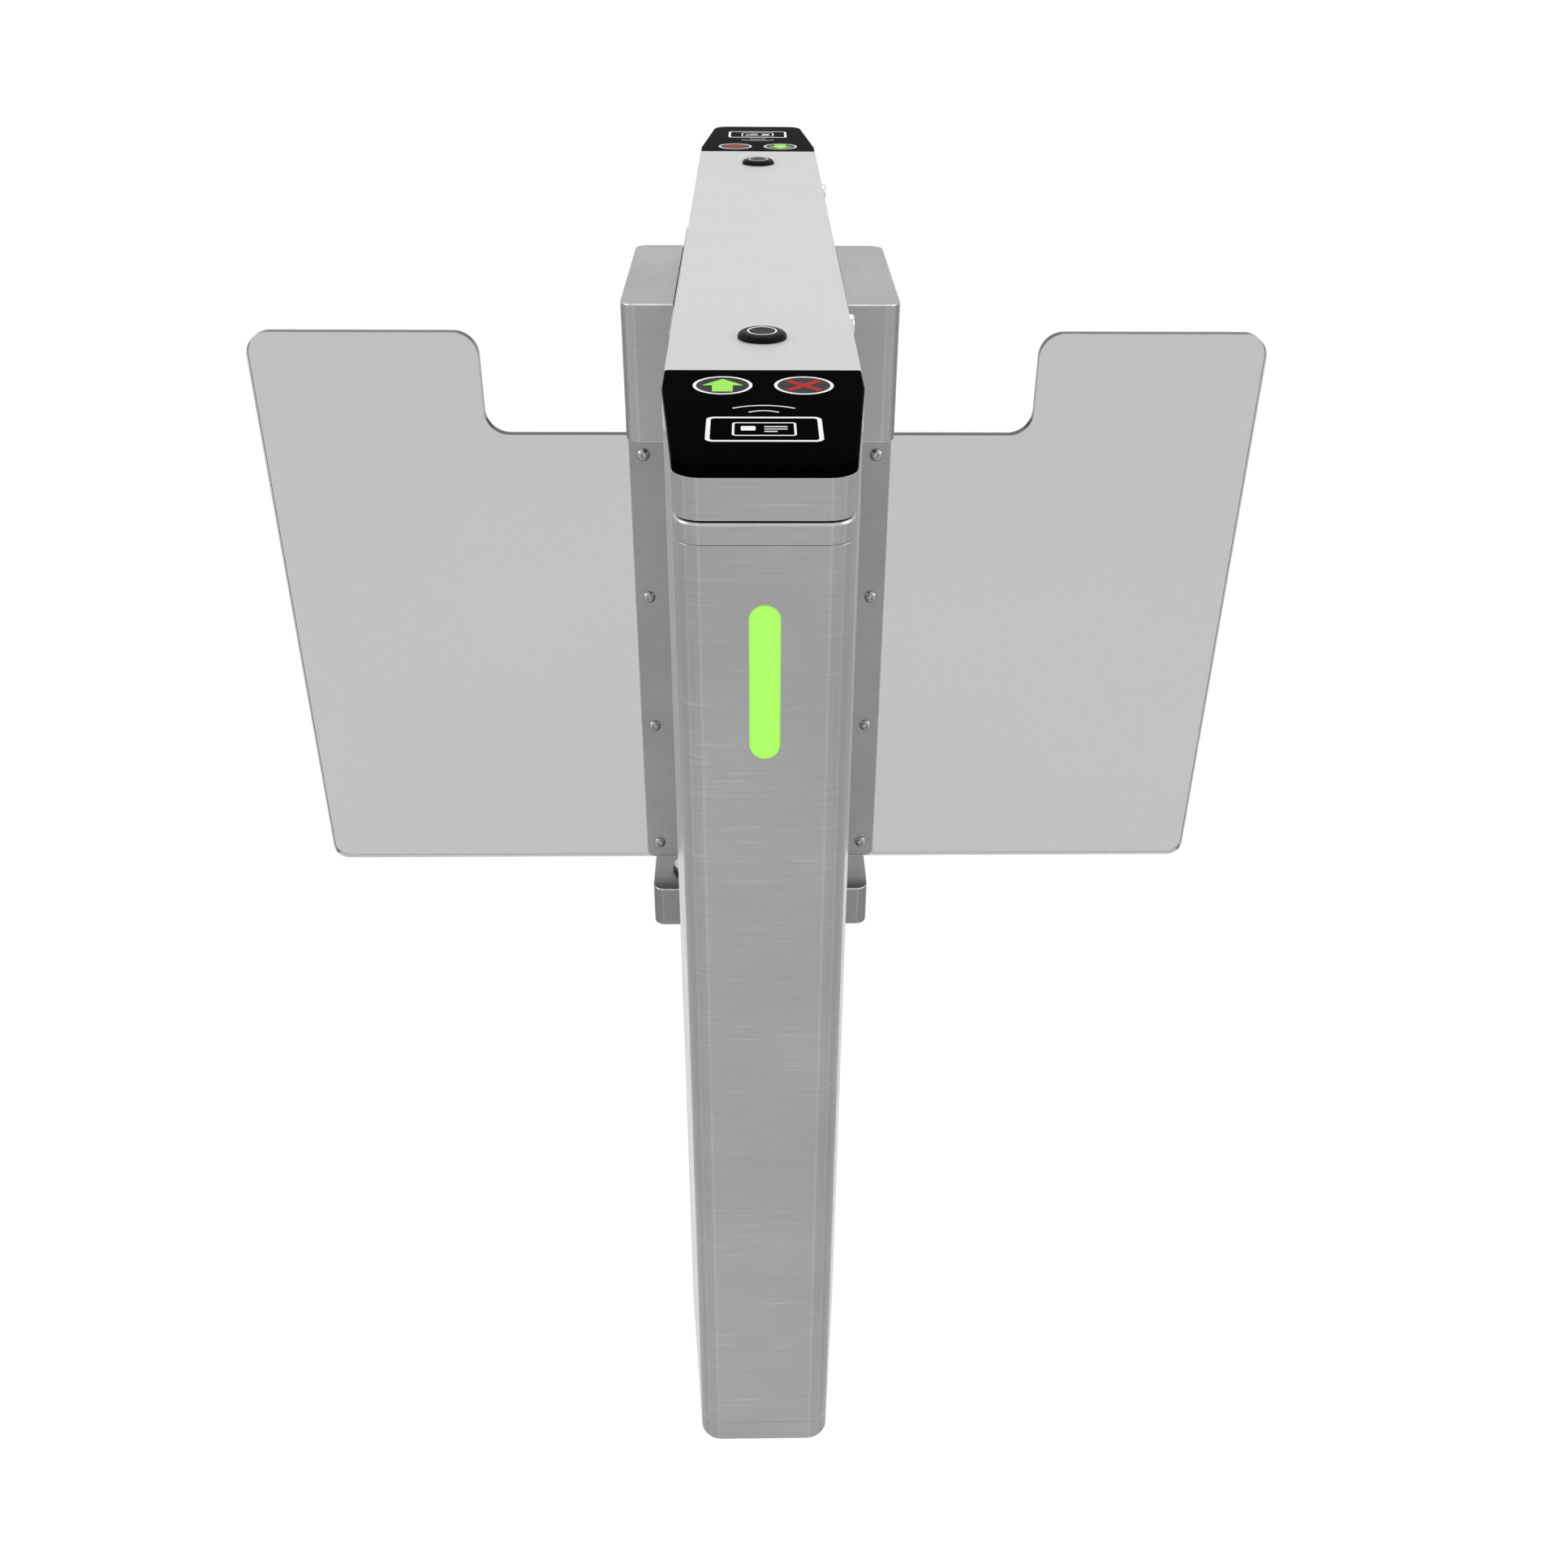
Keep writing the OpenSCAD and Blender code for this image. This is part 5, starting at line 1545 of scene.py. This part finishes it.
@dataclass
class Signs(SubAssembly):
    """Printed signs of one black panel: go and stop discs, radio arcs and the reader's frame."""

    half: Half
    disc_x: float = 30 * MM
    disc_y: float = -529 * MM
    disc_r: float = 22 * MM
    line: float = 2.4 * MM
    arc_line: float = 1.6 * MM
    print_t: float = 0.12 * MM
    soft_r: float = 0.4 * MM
    disc_lap: float = 0.4 * MM
    disc_drop: float = 0.04 * MM
    disc_sides: int = 72
    cross_lift: float = 0.03 * MM
    arrow_head: float = 15.5 * MM
    arrow_shaft: float = 7.6 * MM
    arrow_tail: float = 15 * MM
    cross_half: tuple[float, float] = (17 * MM, 2.8 * MM)
    arcs: Corners = ((22 * MM, -583 * MM, 6.5 * MM), (10.5 * MM, -592 * MM, 3.6 * MM))
    frame_half: float = 40 * MM
    frame_y: tuple[float, float] = (-654 * MM, -602 * MM)
    frame_line: float = 3.1 * MM
    frame_r: float = 6 * MM
    card_half: tuple[float, float] = (22 * MM, 14 * MM)
    card_line: float = 1.6 * MM
    card_r: float = 3 * MM
    chip: tuple[float, ...] = (-16 * MM, -3 * MM, -6 * MM, 6 * MM)
    chip_r: float = 1.2 * MM
    bars: tuple[float, ...] = (16 * MM, 16 * MM, 9 * MM)
    bar_half: float = 0.9 * MM
    bar_step: float = 5 * MM

    def print_on(
        self, shape: Shape, outer: np.ndarray, inner: Optional[np.ndarray] = None, lift: float = 0.0
    ) -> None:
        """Adds a thin print on the panel's face.

        Args:
            shape: Shape that takes the print.
            outer: Outline of the print.
            inner: Outline of its opening, with as many points.
            lift: How far it stands above the other prints.
        """
        _, top = span("panel_front")
        low, high = top - GAP, top + self.print_t + lift
        rows = [placed(outer, low), placed(outer, high)]
        if inner is not None:
            rows += [placed(inner, high), placed(inner, low)]
        shape.grid(np.stack(rows), ring=inner is not None)

    def soft_print(self, shape: Shape, corners: Corners) -> None:
        """Adds a print with slightly rounded corners."""
        self.print_on(shape, round_loop(corners, self.soft_r, steps=3))

    def frame_print(self, shape: Shape, corners: Corners, radius: float, line: float) -> None:
        """Adds a printed frame with round corners."""
        self.print_on(shape, round_loop(corners, radius), round_loop(corners, radius, line))

    def arc(self, shape: Shape, half_width: float, ends_y: float, rise: float) -> None:
        """Adds a thin arc through two ends and a middle that lies further along the gate.

        Its radius is the sum of the squares of half its width and of its rise, over twice the rise.

        Args:
            shape: Shape that takes the print.
            half_width: Half the distance between its ends.
            ends_y: Place of its ends along the gate.
            rise: How much further its middle lies.
        """
        radius = (half_width**2 + rise**2) / (2 * rise)
        reach = math.asin(half_width / radius)
        angles = np.linspace(-reach, reach, 25)
        direction = np.stack([np.sin(angles), np.cos(angles)], 1)
        foot = np.array([0, ends_y + rise - radius])
        outer = foot + direction * (radius + self.arc_line / 2)
        inner = foot + direction * (radius - self.arc_line / 2)
        self.print_on(shape, np.vstack([outer, inner[::-1]]))

    def discs(self, white: Shape, grey: Shape) -> None:
        """Adds both ringed discs.

        Args:
            white: Shape that takes the rings.
            grey: Shape that takes the discs.
        """
        radii = (self.disc_r, self.disc_r - self.line, self.disc_r - self.disc_lap)
        outer, inner, field = (circle(radius, self.disc_sides) for radius in radii)
        for x in (-self.disc_x, self.disc_x):
            centre = np.array([x, self.disc_y])
            self.print_on(grey, centre + field, lift=-self.disc_drop)
            self.print_on(white, centre + outer, centre + inner)

    def go_arrow(self, green: Shape) -> None:
        """Adds the arrow of the left disc.

        Args:
            green: Shape that takes the print.
        """
        head, shaft, tail = self.arrow_head, self.arrow_shaft, self.arrow_tail
        arrow = [(shaft, -tail), (shaft, 0), (head, 0), (0, head), (-head, 0), (-shaft, 0), (-shaft, -tail)]
        self.soft_print(green, np.array(arrow) + [-self.disc_x, self.disc_y])

    def stop_cross(self, red: Shape) -> None:
        """Adds the cross of the right disc, one bar a hair above the other.

        Args:
            red: Shape that takes the print.
        """
        half_x, half_y = self.cross_half
        bar = round_loop(rectangle(-half_x, -half_y, half_x, half_y), self.soft_r, steps=3)
        for lift, sign in ((0.0, 1), (self.cross_lift, -1)):
            turn = np.array([[1, sign], [-sign, 1]]) / math.sqrt(2)
            self.print_on(red, bar @ turn + [self.disc_x, self.disc_y], lift=lift)

    def card_glyph(self, white: Shape) -> None:
        """Adds the reader's frame and in it a plain card: its outline, its chip and three bars.

        Args:
            white: Shape that takes the prints.
        """
        low, high = self.frame_y
        middle = (low + high) / 2
        border = rectangle(-self.frame_half, low, self.frame_half, high)
        self.frame_print(white, border, self.frame_r, self.frame_line)
        half_x, half_y = self.card_half
        card = rectangle(-half_x, middle - half_y, half_x, middle + half_y)
        self.frame_print(white, card, self.card_r, self.card_line)
        chip = np.array(rectangle(*self.chip)) + [0, middle]
        self.print_on(white, round_loop(chip, self.chip_r, steps=4))
        for row, length in enumerate(self.bars):
            y = middle + (1 - row) * self.bar_step
            self.soft_print(white, rectangle(0, y - self.bar_half, length, y + self.bar_half))

    def build(self) -> None:
        """Builds the prints and puts each colour on as one piece."""
        prints = {colour: Shape() for colour in ("white", "grey", "green", "red")}
        self.discs(prints["white"], prints["grey"])
        self.go_arrow(prints["green"])
        self.stop_cross(prints["red"])
        for arc in self.arcs:
            self.arc(prints["white"], *arc)
        self.card_glyph(prints["white"])
        for colour, shape in prints.items():
            name = f"signs_{colour}_{self.half.end}"
            shape.piece(name, "lid", [self.finishes[f"{colour}_print"]], self.half)


@dataclass
class ArmMount(SubAssembly):
    """What carries a wing on the cabinet: arm housing, side plate and lower bracket."""

    half: Half
    wall: float = 2 * MM
    housing_r: float = 16 * MM
    bracket_r: float = 14 * MM
    bracket_wall: float = 4 * MM
    fold_r: float = 1.8 * MM
    axis_x: float = 96 * MM
    shaft_hole_r: float = 10.6 * MM
    bush_hole_r: float = 14.1 * MM
    boss_r: float = 20 * MM
    boss_z: float = 26 * MM
    hole_depth: float = 40 * MM
    opening_half: float = 120 * MM
    opening_border: float = 4 * MM
    opening_top: float = 937 * MM
    opening_r: float = 0.5 * MM
    least_fold: float = 0.4 * MM

    def box_rows(self, low: Sequence[float], high: Sequence[float], radius: float, fold: float) -> np.ndarray:
        """Rows of a box with round outer corners, from its open end outwards.

        Row by row the section is a rectangle with folded corners. Its half length falls along the
        outer corner's arc, and its half height along the fold's arc.

        Args:
            low: Lowest corner.
            high: Highest corner.
            radius: Radius of the upright outer corners.
            fold: Radius of the upper and lower edges.

        Returns:
            Points by row.
        """
        middle = (low[2] + high[2]) / 2
        a = np.linspace(0, np.pi / 2, 15)
        x = np.concatenate([[low[0]], high[0] - radius + radius * np.sin(a)])
        half_y = np.concatenate([[high[1]], high[1] - radius + radius * np.cos(a)])
        past = np.clip(x - (high[0] - fold), 0, fold)
        half_z = (high[2] - low[2]) / 2 - fold + np.sqrt(fold**2 - past**2)
        rows = [
            placed(round_loop(rectangle(-y, middle - z, y, middle + z), fold), place, Plane.YZ)
            for place, y, z in zip(x, half_y, half_z)
        ]
        return np.stack(rows)

    def hollow_box(self, node: str, radius: float, wall: float) -> Shape:
        """Box of bent sheet, open towards the cabinet.

        Args:
            node: CAD node in whose place it stands.
            radius: Outer radius of its upright corners.
            wall: Thickness of the sheet.

        Returns:
            The box.
        """
        low, high = (np.array(corner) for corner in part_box(node))
        outer = self.box_rows(low, high, radius, self.fold_r)
        inset = np.array([0.0, wall, wall])
        fold = max(self.fold_r - wall, self.least_fold)
        inner = self.box_rows(low + inset, high - wall, radius - wall, fold)
        rows = np.concatenate([inner[::-1], outer])
        folds = np.tile(bend_weights(4), (len(outer), 1))
        return Shape().grid(rows, bends=np.concatenate([np.zeros(inner.shape[:2]), folds]))

    def housing(self) -> None:
        """Arm housing with the shaft's hole in its floor."""
        low, _ = span("arm_housing_right")
        shape = self.hollow_box("arm_housing_right", self.housing_r, self.wall)
        hole = Shape().rod(self.shaft_hole_r, low - PAST, low + PAST, (self.axis_x, 0, 0))
        self.dress(shape, f"arm_housing_{self.half.side}", "brushed_steel", half=self.half, cut=hole)

    def side_plate(self) -> None:
        """Shallow tray behind the housing, open where the drive passes.

        Its edge is a quarter circle, along which the inset grows as one less the cosine.
        """
        low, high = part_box("side_plate_right")
        rim = rectangle(low[1], low[2], high[1], high[2])
        sill, half_y = low[2] + self.opening_border, self.opening_half
        front, back = high[0], high[0] - self.wall
        border = round_loop(rectangle(-half_y, sill, half_y, self.opening_top), self.opening_r)
        inner = round_loop(rim, self.fold_r, self.wall)
        rows = [placed(round_loop(rim, self.fold_r), low[0], Plane.YZ)]
        arc = np.linspace(0, np.pi / 2, 4)
        for a in arc:
            x = front - self.fold_r * (1 - math.sin(a))
            inset = self.fold_r * (1 - math.cos(a))
            rows.append(placed(round_loop(rim, self.fold_r, inset), x, Plane.YZ))
        for loop, x in ((border, front), (border, back), (inner, back), (inner, low[0])):
            rows.append(placed(loop, x, Plane.YZ))
        bends = np.concatenate([[0], np.sin(2 * arc), np.zeros(4)])
        shape = Shape().grid(np.stack(rows), ring=True, bends=bends[:, None])
        self.dress(shape, f"side_plate_{self.half.side}", "brushed_steel", half=self.half)

    def bracket(self) -> None:
        """Lower bracket with the boss and the hole of its bush."""
        _, top = span("lower_bracket_right")
        axis = (self.axis_x, 0, 0)
        shape = self.hollow_box("lower_bracket_right", self.bracket_r, self.bracket_wall)
        boss = Shape().rod(self.boss_r, top - self.boss_z, top - self.bracket_wall / 2, axis)
        hole = Shape().rod(self.bush_hole_r, top - self.hole_depth, top + PAST, axis)
        name = f"lower_bracket_{self.half.side}"
        self.dress(shape, name, "bright_steel", half=self.half, add=boss, cut=hole)

    def build(self) -> None:
        """Builds the three pieces of this side."""
        self.housing()
        self.side_plate()
        self.bracket()


@dataclass
class Wing(SubAssembly):
    """One swinging wing: notched glass, clamp plates and their screws."""

    half: Half
    notch: tuple[float, float] = (302 * MM, 785 * MM)
    glass_r: float = 26 * MM
    low_r: float = 18 * MM
    inner_r: float = 1.5 * MM
    arris: float = 0.9 * MM
    clamp_t: float = 8 * MM
    clamp_r: float = 6 * MM
    clamp_edge: float = 0.8 * MM
    screw_x: float = 129 * MM
    screw_z: tuple[float, ...] = (250 * MM, 422 * MM, 594 * MM, 766 * MM)
    head_r: float = 7 * MM
    head_h: float = 4.4 * MM
    head_gap: float = 0.02 * MM
    head_side: tuple[float, ...] = (0.7 * MM, 0.25 * MM)
    dome_drop: float = 0.15 * MM
    dome_share: float = 1.25
    brim: float = 0.5 * MM
    socket_r: float = 2.9 * MM
    socket: Corners = ((0.02, 2.8 * MM), (0.98, 2.4 * MM), (1.0, 2.3 * MM))
    socket_flare: float = 1.02
    shank_r: float = 4 * MM
    glass_play: float = 1 * MM
    hole_reach: float = 40 * MM

    def screw_holes(self, radius: float) -> Shape:
        """Rods that cut the screws' holes.

        Args:
            radius: Radius of the holes.

        Returns:
            The rods.
        """
        rods, reach = Shape(), self.hole_reach
        for z in self.screw_z:
            rods.rod(radius, -reach, reach, (self.screw_x, 0, z), Plane.XZ, sides=24)
        return rods

    def glass(self) -> None:
        """Notched pane with ground edges."""
        low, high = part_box("wing_glass_right")
        notch_x, notch_z = self.notch
        corners = [
            (low[0], low[2]), (high[0], low[2]), (high[0], high[2]), (notch_x, high[2]),
            (notch_x, notch_z), (low[0], notch_z),
        ]
        radii = [self.inner_r, self.low_r, self.glass_r, self.glass_r, self.glass_r, self.inner_r]
        levels = edge_levels(low[1], high[1], self.arris, self.arris)
        shape = Shape().loft(rounded(corners, radii, steps=17), levels, Plane.XZ, wall_slot=1)
        name, holes = f"wing_glass_{self.half.side}", self.screw_holes(self.shank_r + self.glass_play)
        # The ground edges take the darker edge finish, painted shade for the dim light through the glass.
        self.dress(shape, name, "grey_glass", "glass_edge", half=self.half, cut=holes)

    def clamps(self) -> None:
        """Two clamp plates with soft edges."""
        low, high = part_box("clamp_plates_right")
        corners = rectangle(low[0], low[2], high[0], high[2])
        shape = Shape()
        for y in (low[1], high[1] - self.clamp_t):
            levels = edge_levels(y, y + self.clamp_t, self.clamp_edge, self.clamp_edge)
            shape.loft(rounded(corners, self.clamp_r), levels, Plane.XZ)
        holes = self.screw_holes(self.shank_r + GAP)
        self.dress(shape, f"clamp_plates_{self.half.side}", "clamp_steel", half=self.half, cut=holes)

    def screw_rows(self, face: float) -> np.ndarray:
        """Rows of a screw from the socket of one head to that of the other.

        The head is a shallow dome, cut from a ball. Its socket is a six-sided outline, whose radius at an
        angle is its inner radius over the cosine of the angle from the middle of a flat. Going up the
        socket, the outline has a share of its size at a depth below the head's top.

        Args:
            face: Height of the face under a head.

        Returns:
            Points by row.
        """
        unit = circle(1.0)
        angle = np.arctan2(unit[:, 1], unit[:, 0])
        inner = self.socket_r * math.cos(math.pi / 6)
        from_flat = (angle + math.pi / 6) % (math.pi / 3) - math.pi / 6
        hexagon = unit * (inner / np.cos(from_flat))[:, None]
        ball = self.dome_share * self.head_r
        drop = self.head_h - ball
        dome = np.linspace(self.socket_r + self.brim, self.head_r - self.dome_drop, 6)
        profile = [(r, drop + math.sqrt(ball**2 - r**2)) for r in dome]
        profile += [(self.head_r, height) for height in self.head_side]
        profile += [(radius, self.head_gap) for radius in (self.head_r - TIP_R, self.shank_r)]
        top = profile[0][1]
        near = np.stack([
            *[placed(hexagon * share, self.head_h - depth) for share, depth in self.socket],
            placed(hexagon * self.socket_flare, top - GAP),
            *[placed(unit * radius, height) for radius, height in profile],
        ])
        near[:, :, 2] += face
        far = near[::-1] * np.array([1, 1, -1])
        return np.concatenate([near, far])[:, :, [0, 2, 1]]

    def screws(self) -> None:
        """Four button-head screws through both clamp plates."""
        _, face = span("clamp_plates_right", 1)
        rows = self.screw_rows(face)
        shape = Shape()
        for z in self.screw_z:
            shape.grid(rows + np.array([self.screw_x, 0, z]))
        self.dress(shape, f"clamp_screws_{self.half.side}", "screw_steel", half=self.half)

    def build(self) -> None:
        """Builds the wing's pieces."""
        self.glass()
        self.clamps()
        self.screws()


@dataclass
class Studio:
    """Camera of the photograph, floor, world and lamps."""

    place: tuple[float, float, float] = (-0.00772, -1.6331, 1.33583)
    pitch: float = math.radians(31.67)
    yaw: float = math.radians(-1.33)
    roll: float = math.radians(0.51)
    lens: float = 1864.43 / 1932 * 36
    ambient: float = 0.55
    floor_glow: float = 1.13
    floor_share: float = 0.82
    floor_reach: float = 30.0
    floor_r: float = 0.1
    floor_top: float = -0.5 * MM
    floor_low: float = -21 * MM
    floor_grey: float = 0.8
    view_end: float = 50.0
    aim: tuple[float, float, float] = (0, -0.2, 0.7)
    lamps: tuple[tuple[str, tuple[float, float, float], float, float], ...] = (
        ("left_softbox", (-3.2, -1.0, 2.2), 2.0, 28),
        ("right_softbox", (3.2, -1.0, 2.2), 2.0, 28),
        ("top_softbox", (0.2, 0.5, 3.4), 2.2, 22),
    )

    @staticmethod
    def put(data: bpy.types.ID, place: Sequence[float], axes: Sequence[np.ndarray]) -> bpy.types.Object:
        """Adds a camera or a lamp.

        Args:
            data: What the new object holds.
            place: Where it stands.
            axes: Where its own three axes point.

        Returns:
            The new object.
        """
        item = bpy.data.objects.new(data.name, data)
        bpy.context.scene.collection.objects.link(item)
        turn = np.eye(4)
        turn[:3] = np.stack([*axes, place], 1)
        item.matrix_world = Matrix(turn.tolist())
        return item

    def camera(self) -> None:
        """Puts the camera where the photograph was taken: pitched down, turned aside and rolled."""
        ahead = np.array([0, math.cos(self.pitch), -math.sin(self.pitch)])
        up = np.array([0, math.sin(self.pitch), math.cos(self.pitch)])
        right = np.array([1.0, 0, 0])
        c, s = math.cos(self.yaw), math.sin(self.yaw)
        spin = np.array([[c, -s, 0], [s, c, 0], [0, 0, 1]])
        ahead, up, right = spin @ ahead, spin @ up, spin @ right
        c, s = math.cos(self.roll), math.sin(self.roll)
        data = bpy.data.cameras.new("camera")
        data.lens = self.lens
        data.clip_end = self.view_end
        axes = (c * right + s * up, c * up - s * right, -ahead)
        bpy.context.scene.camera = self.put(data, self.place, axes)

    @staticmethod
    def seen(w: Wiring) -> bpy.types.NodeSocket:
        """Tells what the camera sees from light on the object.

        Args:
            w: Wiring of the floor's material or of the world.

        Returns:
            1 for what the camera sees, also in metal and through glass, and 0 for light on the object.
        """
        path = w.add("LightPath").outputs
        direct = w.math("ADD", path["Is Camera Ray"], path["Is Glossy Ray"])
        return w.math("MINIMUM", w.math("ADD", direct, path["Is Transmission Ray"]), 1.0)

    def floor(self) -> None:
        """Wide pale floor that shows white to the camera and keeps the object's shadow."""
        reach = self.floor_reach
        corners = rectangle(-reach, -reach, reach, reach)
        levels = straight_levels(self.floor_low, self.floor_top)
        item = Shape().loft(rounded(corners, self.floor_r), levels).mesh_object("floor")
        material = bpy.data.materials.new("floor_white")
        material.use_nodes = True
        w = Wiring(material.node_tree)
        matt = w.add("BsdfDiffuse", {"Color": (*[self.floor_grey] * 3, 1)})
        glow = w.add("Emission", {"Color": (1, 1, 1, 1), "Strength": self.floor_glow})
        share = w.times(self.seen(w), self.floor_share)
        both = w.add("MixShader", {0: share, 1: matt.outputs[0], 2: glow.outputs[0]})
        w.add("OutputMaterial", {"Surface": both.outputs[0]})
        item.data.materials.append(material)

    def world(self) -> None:
        """White world for the camera and for reflections, softer as a light."""
        world = bpy.data.worlds.new("studio")
        bpy.context.scene.world = world
        world.use_nodes = True
        w = Wiring(world.node_tree)
        strength = w.between(self.seen(w), 0.0, 1.0, self.ambient, 1.0)
        back = w.add("Background", {"Color": (1, 1, 1, 1), "Strength": strength})
        w.add("OutputWorld", {"Surface": back.outputs[0]})

    def lamp(self, name: str, place: Sequence[float], size: float, power: float) -> None:
        """Adds a soft lamp that points at the gate.

        Args:
            name: Name of the lamp.
            place: Where it stands.
            size: Length of its sides.
            power: Power in watts.
        """
        data = bpy.data.lights.new(name, "AREA")
        data.size = size
        data.energy = power
        back = np.array(place) - np.array(self.aim)
        back /= np.linalg.norm(back)
        side = np.cross([0, 0, 1.0], back)
        side /= np.linalg.norm(side)
        self.put(data, place, (side, np.cross(back, side), back))

    def build(self) -> None:
        """Sets up the whole studio."""
        self.camera()
        self.floor()
        self.world()
        for lamp in self.lamps:
            self.lamp(*lamp)
        bpy.context.scene.view_settings.view_transform = "Standard"


def main() -> None:
    """Builds the gate's looks in order."""
    logging.basicConfig(level=logging.INFO, format="%(name)s: %(message)s")
    finishes = Palette()
    finishes.dress_frame()
    plan = Plan()
    Cabinet(finishes, plan).build()
    Lid(finishes, plan).build()
    for half in Half:
        ArmMount(finishes, half).build()
        Wing(finishes, half).build()
    Studio().build()


if __name__ == "__main__":
    main()
